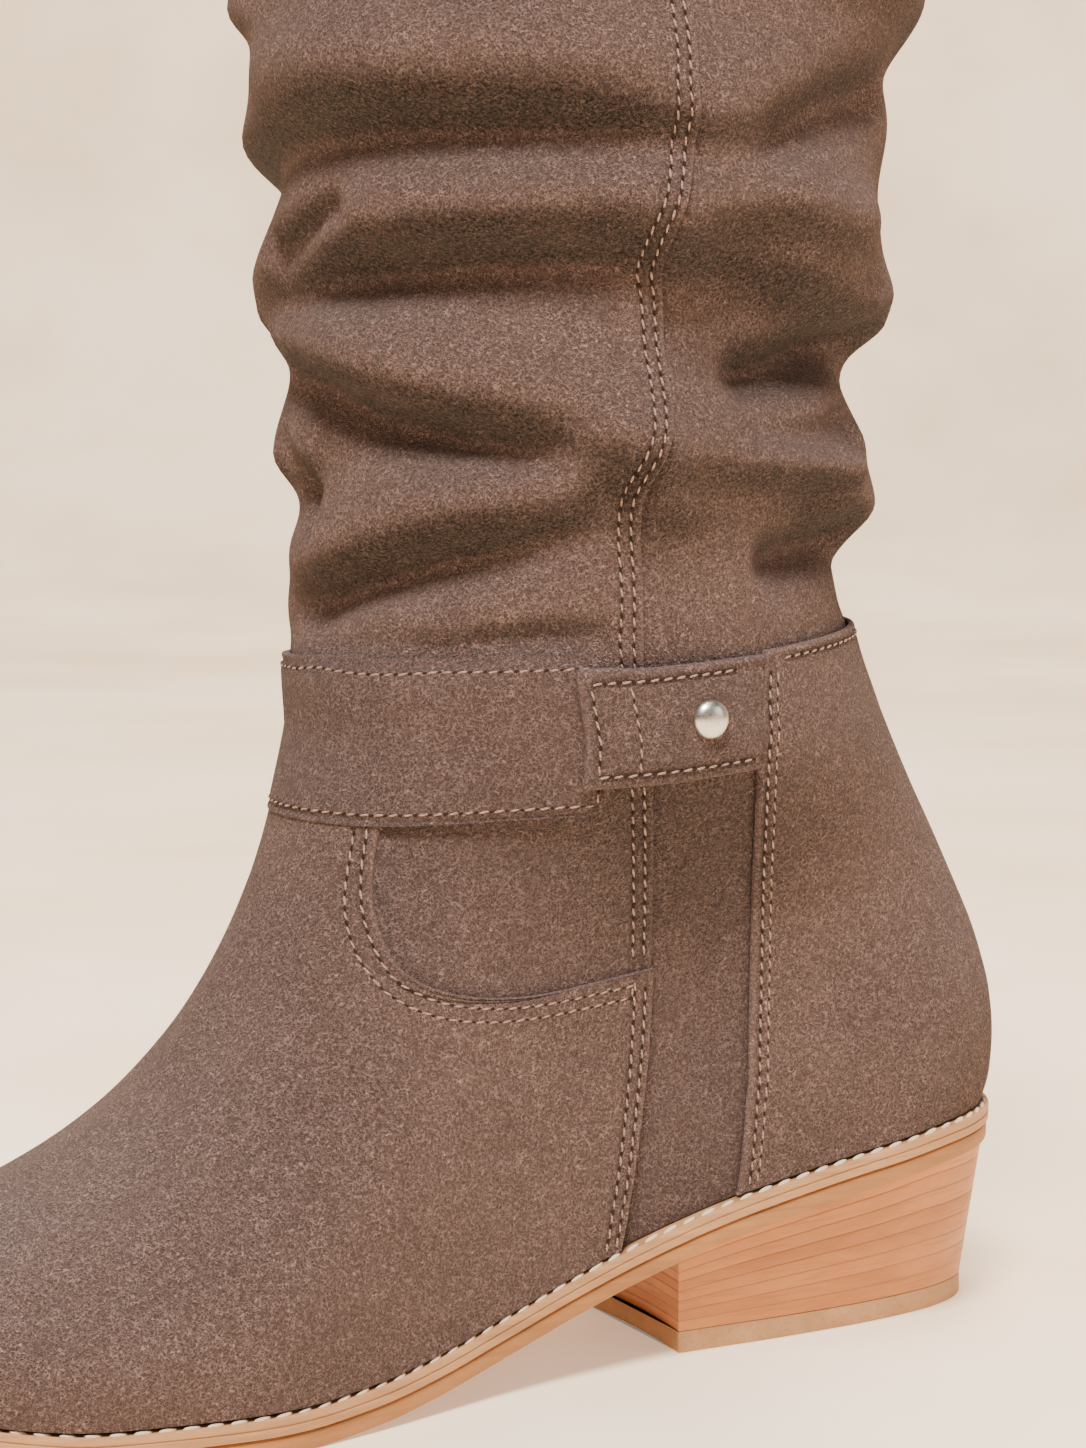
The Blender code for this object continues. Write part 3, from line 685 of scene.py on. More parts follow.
def maths(tree, operation, a, b=0.0, clamp=False):
    node = add_node(tree, "ShaderNodeMath", {0: a, 1: b}, operation=operation, use_clamp=clamp)
    return node.outputs[0]


def noise(tree, place, scale, detail=2.0, roughness=0.5, distortion=0.0):
    inputs = {"Vector": place, "Scale": scale, "Detail": detail, "Roughness": roughness}
    inputs["Distortion"] = distortion
    return add_node(tree, "ShaderNodeTexNoise", inputs).outputs


def moved(tree, place, shift=(0.0, 0.0, 0.0), scale=(1.0, 1.0, 1.0), turn=(0.0, 0.0, 0.0)):
    inputs = {"Vector": place, "Location": shift, "Scale": scale, "Rotation": turn}
    return add_node(tree, "ShaderNodeMapping", inputs).outputs[0]


def ranged(tree, value, low, high, to_low=0.0, to_high=1.0):
    inputs = {"Value": value, "From Min": low, "From Max": high, "To Min": to_low, "To Max": to_high}
    return add_node(tree, "ShaderNodeMapRange", inputs, interpolation_type="SMOOTHSTEP").outputs[0]


def mixed(tree, share, a, b, how="MIX"):
    node = add_node(tree, "ShaderNodeMix", data_type="RGBA", blend_type=how)
    for socket, value in ((node.inputs[0], share), (node.inputs[6], a), (node.inputs[7], b)):
        if isinstance(value, bpy.types.NodeSocket):
            tree.links.new(value, socket)
        else:
            socket.default_value = value
    return node.outputs[2]


def new_group(name, inputs, outputs):
    """A shader group with named inputs and outputs."""
    tree = bpy.data.node_groups.new(name, "ShaderNodeTree")
    for label, kind in inputs:
        tree.interface.new_socket(label, in_out="INPUT", socket_type=kind)
    for label, kind in outputs:
        tree.interface.new_socket(label, in_out="OUTPUT", socket_type=kind)
    return tree, tree.nodes.new("NodeGroupInput").outputs, tree.nodes.new("NodeGroupOutput").inputs


def nap_group():
    """Short curly fibres on soft patches, as on brushed suede."""
    vector, number, colour = "NodeSocketVector", "NodeSocketFloat", "NodeSocketColor"
    tree, given, out = new_group(
        "suede nap",
        [("Place", vector), ("Ground", colour), ("Fibre", colour), ("Edge", number), ("Shade", number)],
        [("Colour", colour), ("Height", number), ("Roughness", number)],
    )
    place = given["Place"]
    bend = noise(tree, place, 420.0, 1.0)["Color"]
    bend = add_node(tree, "ShaderNodeVectorMath", {0: bend, 1: (0.5, 0.5, 0.5)}, operation="SUBTRACT")
    bend = add_node(tree, "ShaderNodeVectorMath", {0: bend.outputs[0], "Scale": 0.0011}, operation="SCALE")
    bent = add_node(tree, "ShaderNodeVectorMath", {0: place, 1: bend.outputs[0]}).outputs[0]
    curls = []
    for size, shift, width in ((980.0, 0.0, 0.055), (1450.0, 0.3, 0.065)):
        field = noise(tree, moved(tree, bent, (shift, shift, shift)), size, 1.0)["Fac"]
        away = maths(tree, "ABSOLUTE", maths(tree, "SUBTRACT", field, 0.5))
        curls.append(ranged(tree, away, 0.0, width, 1.0, 0.0))
    curl = maths(tree, "MAXIMUM", curls[0], maths(tree, "MULTIPLY", curls[1], 0.8))
    thin = ranged(tree, noise(tree, place, 240.0, 2.0)["Fac"], 0.36, 0.60, 0.72, 1.0)
    curl = maths(tree, "MULTIPLY", curl, thin)
    fuzz = ranged(tree, noise(tree, place, 1500.0, 3.0, 0.65)["Fac"], 0.25, 0.75)
    patch = ranged(tree, noise(tree, place, 70.0, 3.0, 0.55)["Fac"], 0.30, 0.70)
    cloud = ranged(tree, noise(tree, moved(tree, place, (0.7, 0.1, 0.2)), 22.0, 2.0)["Fac"], 0.3, 0.7)
    light = maths(tree, "ADD", maths(tree, "MULTIPLY", patch, 0.08), maths(tree, "MULTIPLY", cloud, 0.13))
    light = maths(tree, "ADD", light, maths(tree, "MULTIPLY", fuzz, 0.80))
    light = maths(tree, "ADD", light, 0.50)
    # The Shade mark darkens the colour under the folds: painted shade.
    light = maths(tree, "SUBTRACT", light, maths(tree, "MULTIPLY", given["Shade"], 0.72))
    worn = ranged(tree, given["Edge"], 0.30, 1.3, 0.18, 0.0)
    share = maths(tree, "ADD", maths(tree, "MULTIPLY", curl, 0.80), worn, True)
    base = mixed(tree, share, given["Ground"], given["Fibre"])
    level = add_node(tree, "ShaderNodeCombineColor", {0: light, 1: light, 2: light}).outputs[0]
    tree.links.new(mixed(tree, 1.0, base, level, "MULTIPLY"), out["Colour"])
    height = maths(tree, "ADD", curl, maths(tree, "MULTIPLY", fuzz, 0.8))
    tree.links.new(height, out["Height"])
    tree.links.new(maths(tree, "SUBTRACT", 0.98, maths(tree, "MULTIPLY", curl, 0.10)), out["Roughness"])
    return tree


def start_material(name):
    material = bpy.data.materials.new(name)
    material.use_nodes = True
    tree = material.node_tree
    return material, tree, tree.nodes["Principled BSDF"]


def object_place(tree):
    return add_node(tree, "ShaderNodeTexCoord").outputs["Object"]


def bumped(tree, shader, height, strength, distance):
    node = add_node(tree, "ShaderNodeBump", {"Height": height, "Strength": strength, "Distance": distance})
    tree.links.new(node.outputs[0], shader.inputs["Normal"])


def suede(name, group, ground, fibre, shift=0.0):
    """Brushed suede, its nap moved so that no two panels match."""
    material, tree, shader = start_material(name)
    place = moved(tree, object_place(tree), (shift, shift * 0.7, shift * 0.3))
    edge = add_node(tree, "ShaderNodeAttribute", attribute_name="edge").outputs["Fac"]
    nap = add_node(tree, "ShaderNodeGroup", node_tree=group)
    tree.links.new(place, nap.inputs["Place"])
    shade = add_node(tree, "ShaderNodeAttribute", attribute_name="shade").outputs["Fac"]
    tree.links.new(edge, nap.inputs["Edge"])
    tree.links.new(shade, nap.inputs["Shade"])
    nap.inputs["Ground"].default_value = (*ground, 1.0)
    nap.inputs["Fibre"].default_value = (*fibre, 1.0)
    tree.links.new(nap.outputs["Colour"], shader.inputs["Base Color"])
    tree.links.new(nap.outputs["Roughness"], shader.inputs["Roughness"])
    shader.inputs["Specular IOR Level"].default_value = 0.15
    shader.inputs["Sheen Weight"].default_value = 0.12
    shader.inputs["Sheen Roughness"].default_value = 0.45
    shader.inputs["Sheen Tint"].default_value = (0.90, 0.78, 0.70, 1.0)
    bumped(tree, shader, nap.outputs["Height"], 1.0, 0.00070)
    return material


def lining_leather():
    """Smooth beige pigskin inside the boot, with pairs of pores and faint creases."""
    material, tree, shader = start_material("lining leather")
    place = object_place(tree)
    pores = add_node(tree, "ShaderNodeTexVoronoi", {"Vector": place, "Scale": 620.0}).outputs["Distance"]
    pore = ranged(tree, pores, 0.05, 0.30)
    cloud = noise(tree, place, 35.0, 4.0)["Fac"]
    colour = mixed(tree, cloud, (0.40, 0.28, 0.19, 1.0), (0.52, 0.38, 0.27, 1.0))
    hollow = maths(tree, "MULTIPLY", maths(tree, "SUBTRACT", 1.0, pore), 0.5)
    colour = mixed(tree, hollow, colour, (0.26, 0.17, 0.11, 1.0))
    tree.links.new(colour, shader.inputs["Base Color"])
    tree.links.new(ranged(tree, cloud, 0.3, 0.7, 0.52, 0.68), shader.inputs["Roughness"])
    bumped(tree, shader, maths(tree, "ADD", pore, cloud), 0.35, 0.0002)
    return material


def edge_leather(name, light, dark, lines, roughness):
    """Vegetable-tanned leather seen on its cut edge, with fibre lines along it."""
    material, tree, shader = start_material(name)
    place = object_place(tree)
    grain = noise(tree, moved(tree, place, scale=(45.0, 45.0, lines)), 1.0, 4.0, 0.6, 0.4)["Fac"]
    specks = noise(tree, place, 900.0, 2.0)["Fac"]
    cloud = noise(tree, place, 40.0, 3.0)["Fac"]
    fibres = ranged(tree, grain, 0.30, 0.70, 0.0, 0.7)
    share = maths(tree, "ADD", fibres, ranged(tree, cloud, 0.3, 0.7, 0.0, 0.3))
    colour = mixed(tree, share, (*dark, 1.0), (*light, 1.0))
    colour = mixed(tree, ranged(tree, specks, 0.60, 0.75, 0.0, 0.3), colour, (*dark, 1.0))
    tree.links.new(colour, shader.inputs["Base Color"])
    tree.links.new(ranged(tree, grain, 0.2, 0.8, roughness, roughness + 0.18), shader.inputs["Roughness"])
    bumped(tree, shader, maths(tree, "ADD", grain, maths(tree, "MULTIPLY", specks, 0.3)), 0.30, 0.0002)
    return material


def stack_leather():
    """The heel's stacked layers, each its own tan, with dark glue lines and drawn-out grain."""
    material, tree, shader = start_material("stacked leather")
    place = object_place(tree)
    layer = add_node(tree, "ShaderNodeAttribute", attribute_name="layer").outputs["Fac"]
    joint = add_node(tree, "ShaderNodeAttribute", attribute_name="joint").outputs["Fac"]
    level = add_node(tree, "ShaderNodeCombineXYZ", {2: maths(tree, "MULTIPLY", layer, 3.7)}).outputs[0]
    drawn = moved(tree, place, scale=(26.0, 26.0, 60.0))
    drawn = add_node(tree, "ShaderNodeVectorMath", {0: drawn, 1: level}).outputs[0]
    grain = noise(tree, drawn, 1.0, 5.0, 0.65, 0.6)["Fac"]
    streaks = noise(tree, moved(tree, place, scale=(70.0, 70.0, 1500.0)), 1.0, 3.0, 0.6)["Fac"]
    tone = noise(tree, level, 2.3, 0.0)["Fac"]
    fibres = ranged(tree, grain, 0.35, 0.68, 0.0, 0.55)
    share = maths(tree, "ADD", fibres, ranged(tree, tone, 0.3, 0.7, 0.0, 0.35))
    colour = mixed(tree, share, (0.60, 0.235, 0.062, 1.0), (0.37, 0.115, 0.023, 1.0))
    colour = mixed(tree, ranged(tree, streaks, 0.52, 0.75, 0.0, 0.55), colour, (0.34, 0.13, 0.045, 1.0))
    colour = mixed(tree, maths(tree, "MULTIPLY", joint, 0.45), colour, (0.26, 0.095, 0.03, 1.0))
    tree.links.new(colour, shader.inputs["Base Color"])
    tree.links.new(ranged(tree, streaks, 0.2, 0.8, 0.42, 0.60), shader.inputs["Roughness"])
    shader.inputs["Coat Weight"].default_value = 0.12
    shader.inputs["Coat Roughness"].default_value = 0.35
    bumped(tree, shader, maths(tree, "SUBTRACT", streaks, joint), 0.25, 0.0002)
    return material


def tread_rubber():
    """Pale brown rubber of the top lift, with fine specks."""
    material, tree, shader = start_material("lift rubber")
    place = object_place(tree)
    cloud = noise(tree, place, 120.0, 5.0, 0.65)["Fac"]
    specks = ranged(tree, noise(tree, place, 1400.0, 1.0)["Fac"], 0.55, 0.72)
    colour = mixed(tree, ranged(tree, cloud, 0.3, 0.7), (0.42, 0.22, 0.095, 1.0), (0.53, 0.295, 0.14, 1.0))
    colour = mixed(tree, maths(tree, "MULTIPLY", specks, 0.35), colour, (0.30, 0.16, 0.08, 1.0))
    tree.links.new(colour, shader.inputs["Base Color"])
    tree.links.new(ranged(tree, cloud, 0.3, 0.7, 0.58, 0.74), shader.inputs["Roughness"])
    bumped(tree, shader, maths(tree, "ADD", cloud, specks), 0.25, 0.0002)
    return material


def thread(name, light, dark):
    """Twisted thread, the grooves between its plies painted darker as shade."""
    material, tree, shader = start_material(name)
    place = object_place(tree)
    twist = add_node(
        tree, "ShaderNodeTexWave", {"Vector": place, "Scale": 900.0, "Distortion": 3.0, "Detail": 1.0},
        bands_direction="DIAGONAL",
    ).outputs["Fac"]
    # Darker along the grooves of the twist: painted shade.
    tree.links.new(mixed(tree, twist, (*dark, 1.0), (*light, 1.0)), shader.inputs["Base Color"])
    tree.links.new(ranged(tree, twist, 0.0, 1.0, 0.75, 0.60), shader.inputs["Roughness"])
    shader.inputs["Sheen Weight"].default_value = 0.15
    bumped(tree, shader, twist, 0.4, 0.0001)
    return material


def painted_hole_shade():
    """Painted shade for the hole a needle leaves between two stitches, put on as a flat dark mark."""
    material, tree, shader = start_material("needle hole shade")
    cloud = noise(tree, object_place(tree), 500.0, 2.0)["Fac"]
    colour = mixed(tree, cloud, (0.022, 0.012, 0.009, 1.0), (0.045, 0.026, 0.018, 1.0))
    tree.links.new(colour, shader.inputs["Base Color"])
    shader.inputs["Roughness"].default_value = 1.0
    shader.inputs["Specular IOR Level"].default_value = 0.05
    return material


def satin_nickel():
    """Brushed nickel, a little worn on its dome."""
    material, tree, shader = start_material("satin nickel")
    place = object_place(tree)
    brush = noise(tree, moved(tree, place, scale=(900.0, 900.0, 5200.0)), 1.0, 3.0)["Fac"]
    cloud = noise(tree, place, 420.0, 2.0)["Fac"]
    colour = mixed(tree, cloud, (0.60, 0.56, 0.50, 1.0), (0.76, 0.72, 0.66, 1.0))
    tree.links.new(colour, shader.inputs["Base Color"])
    shader.inputs["Metallic"].default_value = 1.0
    tree.links.new(ranged(tree, brush, 0.2, 0.8, 0.24, 0.38), shader.inputs["Roughness"])
    bumped(tree, shader, brush, 0.06, 0.0001)
    return material


def wall_columns():
    """Nominal turns round the boot, close together at both side seams."""
    fine = np.array([0.0, 0.35, 0.8, 1.5, 2.4, 3.4, 4.6, 5.6, 6.6, 7.6, 9.0, 10.6, 12.2, 14.0, 16.5]) * 1e-3
    turns = [np.arange(240) / 240]
    for seam in (0.25, 0.75):
        turns = [t[np.abs(t - seam) > 0.0185] for t in turns]
        turns += [seam + fine, seam - fine[1:]]
    return np.unique(np.round(np.concatenate(turns), 6))


def seam_distance(nominal, rise):
    """Metres ahead of the side seam's edge, below 0 behind it."""
    side = np.where(nominal < 0.5, nominal, 1.0 - nominal)
    per_turn = metric(seam_warp(nominal, rise), rise)[0]
    return (0.25 - side) * per_turn


def sunk(away):
    """Depth of the channel that a row of stitches pulls in."""
    return STITCH_SINK * np.exp(-((away / 0.00075) ** 2))


def panel_lift(ahead):
    """Step of the front panel at its rolled edge, with its two sunk rows of stitches."""
    roll = np.sqrt(1.0 - (1.0 - np.clip(ahead / EDGE_ROLL, 0.0, 1.0)) ** 2)
    lift = np.where(ahead > 0, PANEL_STEP * (0.25 + 0.75 * roll), 0.0)
    for row in SEAM_ROWS:
        lift = lift - sunk(ahead - row) * (ahead > 0)
    return lift - 0.0002 * np.exp(-((ahead / 0.0009) ** 2)) * (ahead <= 0)


def painted_fold_shade(normal):
    """1 where the skin faces down under a fold: painted shade that darkens the suede there."""
    return smoothstep(0.02, -0.75, normal[..., 2])


def wall(name, rises, materials, rim=False):
    """A stretch of the boot's wall, with its lining inside."""
    nominal, rise = np.meshgrid(wall_columns(), rises)
    turn = seam_warp(nominal, rise)
    skin = skin_point(turn, rise)
    normal = level_normal(turn, rise)
    ahead = seam_distance(nominal, rise)
    lift = panel_lift(ahead)
    thick = np.full(rise.shape, WALL)
    if rim:
        top = (2.0 - rise) * (COLLAR_HEIGHT - JOIN_HEIGHT)
        roll = 1.0 - np.sqrt(1.0 - (1.0 - np.clip(top / 0.0013, 0.0, 1.0)) ** 2)
        lift = lift * (1.0 - roll) - WALL * 0.45 * roll
        for row in (0.0035, 0.0075):
            lift = lift - 0.0002 * np.exp(-(((top - row) / 0.0007) ** 2))
        thick = thick * (1.0 - 0.45 * roll)
    outer = skin + normal * lift[..., None]
    inner = skin - normal * thick[..., None]
    edge = np.where(ahead > 0, ahead / MM, 10.0)
    below = -smoothstep(0.9, 1.0, rise)
    above = smoothstep(1.1, 1.0, rise)
    apart = (GAP / 2) * np.where(rises[:, None] <= 1.0, below, above)
    for grid in (outer, inner):
        grid[..., 2] += apart
    marks = {"edge": edge, "shade": painted_fold_shade(skin_normal(turn, rise))}
    return closed_sheet(name, inner, outer, materials, marks, wrap=True)


def shares(length, step=1.7, start=True, end=True):
    """Shares of a width in millimetres, fine near the ends that show their edge."""
    near = np.array(NEAR_EDGE)
    near = near[near < length * 0.42]
    low = near if start else near[:1]
    high = length - (near if end else near[:1])[::-1]
    count = max(int((high[0] - low[-1]) / step), 2)
    middle = np.linspace(low[-1], high[0], count + 1)[1:-1]
    return np.concatenate((low, middle, high)) / length


def edge_distance(points, sides):
    """Metres over the surface from each point to the nearest of the named edges."""
    across = np.linalg.norm(np.diff(points, axis=1), axis=-1)
    up = np.linalg.norm(np.diff(points, axis=0), axis=-1)
    zero_column = np.zeros((len(points), 1))
    zero_row = np.zeros((1, points.shape[1]))
    start = np.concatenate((zero_column, np.cumsum(across, axis=1)), axis=1)
    low = np.concatenate((zero_row, np.cumsum(up, axis=0)), axis=0)
    far = {"start": start, "end": start[:, -1:] - start, "low": low, "high": low[-1:] - low}
    return np.min([far[side] for side in sides], axis=0)


def filled(normal):
    """Directions, with any that disagrees with the columns beside it taken from them."""
    reach = 3
    near = unit(np.roll(normal, reach, axis=1) + np.roll(normal, -reach, axis=1))
    wrong = np.sum(near * normal, axis=-1, keepdims=True) < 0.5
    wrong[:, :reach] = False
    wrong[:, -reach:] = False
    return np.where(wrong, near, normal)


def overlay(name, turn, rise, depth, thickness, materials, sides, rows=(), nodes=()):
    """A panel laid over the skin, its free edges rolled and its rows of stitches sunk."""
    skin = skin_point(turn, rise)
    normal = filled(level_normal(turn, rise, (0.0,)))
    away = edge_distance(skin, sides)
    roll = np.sqrt(1.0 - (1.0 - np.clip(away / EDGE_ROLL, 0.0, 1.0)) ** 2)
    lift = depth + thickness * (0.30 + 0.70 * roll)
    for row in rows:
        lift = lift - sunk(away - row)
    lower = skin + normal * np.broadcast_to(depth, away.shape)[..., None]
    upper = skin + normal * lift[..., None]
    marks = {"edge": away / MM, "shade": painted_fold_shade(normal)}
    obj = closed_sheet(name, lower, upper, materials, marks)
    return keep(obj, nodes)


def strap_height(turn, share):
    """Height of the strap over the floor, from its lower edge to its upper one."""
    tilt = STRAP_TILT * smoothstep(0.06, STRAP_END, turn) * blend(1.0, 0.5, share)
    return STRAP_BOTTOM + tilt + share * STRAP_WIDTH


def vamp_edge_turn(row):
    return curve(VAMP, 1, row)


def vamp_rows(side):
    """The vamp's upper edge from the side seam to the strap, as turns and rises."""
    row = np.concatenate((
        np.linspace(0.6165, 0.6229, 6), np.linspace(0.6232, 0.72, 26), np.linspace(0.725, 1.0, 34),
    ))
    at = np.clip(vamp_edge_turn(row), 0.05, None)
    rise = row * rise_at(at, strap_height(at, 0.0))
    at = np.minimum(at, seam_turn(rise))
    return side * at, rise


def make_vamp(material):
    """The vamp: over the toe and instep up to the strap, cut round on both sides."""
    fine = np.array(NEAR_EDGE) * MM
    rows = np.concatenate((
        np.linspace(0.004, 0.20, 26), np.linspace(0.21, 0.58, 44),
        np.linspace(0.584, 0.616, 14), np.linspace(0.6165, 0.632, 22),
        np.linspace(0.634, 0.70, 26), np.linspace(0.704, 1.0, 66),
    ))
    edge = vamp_edge_turn(rows)
    spine = np.linspace(0.0, 1.0, 90) ** 0.92
    ahead = fine[::-1]
    rise_edge = rows * rise_at(np.minimum(edge, 0.2), strap_height(np.minimum(edge, 0.2), 0.0))
    limit = np.minimum(edge, seam_turn(rise_edge))
    per_turn = metric(limit, rise_edge)[0]
    inner = limit - fine[-1] / per_turn
    middle = spine[None, :] * inner[:, None]
    border = limit[:, None] - ahead[None, 1:] / per_turn[:, None]
    half = np.concatenate((middle, border), axis=1)
    half = np.maximum.accumulate(half, axis=1)
    turn = np.concatenate((-half[:, :0:-1], half), axis=1)
    at = np.minimum(np.abs(turn), 0.2)
    under = np.where(rows[:, None] < 0.9, 0.0, at)
    top = rise_at(under, strap_height(under, 0.0) + 0.003)
    top_edge = rise_at(np.minimum(edge, 0.2), strap_height(np.minimum(edge, 0.2), 0.0))
    outward = smoothstep(0.0, 1.0, np.abs(turn) / limit[:, None])
    rise = rows[:, None] * blend(top, np.broadcast_to(top_edge[:, None], top.shape), outward)
    return overlay(
        "vamp_panel", turn, rise, VAMP_DEPTH, OVERLAY, [material], ("start", "end"),
        EDGE_ROWS, ("vamp",),
    )


def counter_turn(height):
    """Turn of the counter's front edge at a height over the floor."""
    turn = np.full(np.shape(height), COUNTER[-1][1])
    for _ in range(6):
        share = rise_at(turn, height) / rise_at(turn, COUNTER_HEIGHT - COUNTER_DROP)
        turn = curve(COUNTER, 1, share)
    return turn


def counter_top(turn):
    """Rise of the counter's upper edge."""
    across = (np.abs(turn - 0.5) / (0.5 - COUNTER[-1][1])) ** 2
    return rise_at(turn, COUNTER_HEIGHT - COUNTER_DROP * across)


def make_counter(material):
    """The counter round the heel, from the welt to the strap's upper edge."""
    row = shares(112.0, 1.5, start=False)
    column = shares(170.0, 1.7)
    share, across = np.meshgrid(column, row)
    turn = 0.5 + (2.0 * share - 1.0) * (0.5 - curve(COUNTER, 1, across))
    rise = blend(0.004, 1.0, across) * counter_top(turn)
    return overlay(
        "counter_panel", turn, rise, COVER_DEPTH, OVERLAY, [material], ("start", "end", "high"),
        COUNTER_ROWS[:1], ("counter",),
    )


def make_strap(material):
    """The strap, from its rounded end on the outer side round the front to the counter."""
    row = shares(STRAP_WIDTH / MM, 1.4)
    column = shares(250.0, 1.7, end=False)
    share, across = np.meshgrid(column, row)
    end = GAP * 3 - counter_turn(strap_height(-0.3, row))[:, None]
    low = np.minimum(row, 1.0 - row) * STRAP_WIDTH
    within = np.maximum(STRAP_CORNER - low, 0.0)
    cut = STRAP_CORNER - np.sqrt(np.maximum(STRAP_CORNER ** 2 - within ** 2, 0.0))
    start = STRAP_END - cut[:, None] / metric(STRAP_END, 1.0)[0]
    turn = blend(start, end, share)
    rise = rise_at(turn, strap_height(turn, across))
    return overlay(
        "strap_band", turn, rise, STRAP_DEPTH, STRAP_THICKNESS, [material], ("start", "low", "high"),
        (STRAP_ROW,), ("strap",),
    )


def tab_depth(turn):
    """The tab lies on the strap's end and comes down to the rear panel."""
    high = STRAP_DEPTH + STRAP_THICKNESS + GAP
    return blend(high, COVER_DEPTH + 0.0002, smoothstep(STRAP_END + 0.012, 0.30, turn))


def tab_height(share, across):
    """Height of the tab over the floor. share runs back from its end, across up."""
    return TAB_BOTTOM + TAB_TILT * share + TAB_WIDTH * across


def make_tab(material):
    """The short tab over the strap's end, held by the rivet."""
    row = shares(TAB_WIDTH / MM, 1.2)
    column = shares(40.0, 1.2, end=False)
    share, across = np.meshgrid(column, row)
    height = tab_height(share, across)
    back = counter_turn(tab_height(1.0, row))[:, None] - GAP * 3
    turn = blend(TAB_END, back, share)
    rise = rise_at(turn, height)
    return overlay(
        "tab_piece", turn, rise, tab_depth(turn), TAB_THICKNESS, [material], ("start", "low", "high"),
        (TAB_ROW,), ("tab",),
    )


def revolve(name, profile, foot, axis, materials, sides=56):
    """A turned piece. profile: radius and level from its rim to its middle."""
    flat = np.array([-axis[1], axis[0], 0.0])
    flat /= np.linalg.norm(flat)
    up = np.cross(axis, flat)
    angles = np.arange(sides) / sides * 2 * math.pi
    ring = np.cos(angles)[:, None] * flat + np.sin(angles)[:, None] * up
    grid = np.array([foot + ring * radius + axis * level for radius, level in profile])
    rows = len(profile)
    index = np.arange(rows * sides).reshape(rows, sides)
    after = np.roll(index, -1, axis=1)
    faces = np.stack((index[:-1], after[:-1], after[1:], index[1:]), -1).reshape(-1, 4).tolist()
    ends = [list(foot + axis * profile[0][1]), list(foot + axis * profile[-1][1])]
    points = grid.reshape(-1, 3).tolist() + ends
    for j in range(sides):
        k = (j + 1) % sides
        faces.append((index[0, k], index[0, j], rows * sides))
        faces.append((index[-1, j], index[-1, k], rows * sides + 1))
    mesh = bpy.data.meshes.new(name)
    mesh.from_pydata(points, [], [tuple(int(i) for i in face) for face in faces])
    mesh.update()
    for material in materials:
        mesh.materials.append(material)
    face_outward(mesh)
    mesh.polygons.foreach_set("use_smooth", np.full(len(mesh.polygons), True))
    mesh.set_sharp_from_angle(angle=math.radians(60))
    obj = bpy.data.objects.new(name, mesh)
    bpy.context.scene.collection.objects.link(obj)
    return obj


def make_rivet(material):
    """A low satin dome with a narrow foot that presses into the tab."""
    height = tab_height(0.7, 0.5)
    rise = float(rise_at(RIVET_TURN, height))
    axis = level_normal(np.array(RIVET_TURN), np.array(rise), (0.0,))
    foot = over_skin(RIVET_TURN, rise, tab_depth(RIVET_TURN) + TAB_THICKNESS - 0.0002)
    radius = RIVET_DIAMETER / 2
    profile = [(radius * 0.90, 0.0), (radius * 0.97, 0.00015), (radius, 0.0004)]
    for step in range(1, 12):
        bend = math.pi / 2 * step / 12
        profile.append((radius * math.cos(bend) ** 0.9, 0.0004 + (RIVET_HEIGHT - 0.0002) * math.sin(bend)))
    return keep(revolve("rivet_dome", profile, foot, axis, [material]), ("rivet",))


def sole_loop(inset, count=110):
    """The sole's outline, moved inward, from the back by the outer side to the toe and round."""
    share = (1.0 - np.cos(math.pi * np.arange(count + 1) / count)) / 2
    x = SOLE_BACK - share * SOLE_LENGTH
    half = half_width(share) * heel_round((HEEL_ROUND - share) / HEEL_ROUND)
    outer = np.stack((x, middle_line(share) - half), -1)
    inner = np.stack((x, middle_line(share) + half), -1)[-2:0:-1]
    loop = np.concatenate((outer, inner))
    ahead = np.roll(loop, -1, axis=0) - np.roll(loop, 1, axis=0)
    ahead /= np.linalg.norm(ahead, axis=1, keepdims=True)
    inward = np.stack((ahead[:, 1], -ahead[:, 0]), -1)
    return loop + inward * inset


def ringed(name, rings, materials, marks=None):
    """A closed plate from rings of points, its first and last ring closed across."""
    rings = np.array(rings)
    rows, columns = rings.shape[:2]
    index = np.arange(rows * columns).reshape(rows, columns)
    after = np.roll(index, -1, axis=1)
    walls = np.stack((index[:-1], after[:-1], after[1:], index[1:]), -1).reshape(-1, 4)
    half = columns // 2
    k = np.arange(half)
    first, second = k, k + 1
    third, fourth = (columns - k - 1) % columns, (columns - k) % columns
    cap = np.stack((first, second, third, fourth), -1)
    faces = np.concatenate((walls, cap[:, ::-1], cap + (rows - 1) * columns)).tolist()
    faces = [tuple(dict.fromkeys(face)) for face in faces]
    faces = [face for face in faces if len(face) > 2]
    mesh = bpy.data.meshes.new(name)
    mesh.from_pydata(rings.reshape(-1, 3).tolist(), [], faces)
    mesh.update()
    for material in materials:
        mesh.materials.append(material)
    face_outward(mesh)
    for mark, values in (marks or {}).items():
        flat = np.asarray(values, np.float32).reshape(-1)
        mesh.attributes.new(mark, "FLOAT", "POINT").data.foreach_set("value", flat)
    mesh.polygons.foreach_set("use_smooth", np.full(len(mesh.polygons), True))
    mesh.set_sharp_from_angle(angle=math.radians(35))
    obj = bpy.data.objects.new(name, mesh)
    bpy.context.scene.collection.objects.link(obj)
    return obj


def sole_rings(profile):
    """Rings of a sole plate. profile: inset and level under the welt's top."""
    rings = []
    for inset, level in profile:
        loop = sole_loop(inset)
        rings.append(np.column_stack((loop, welt_height(loop[:, 0]) + level)))
    return rings


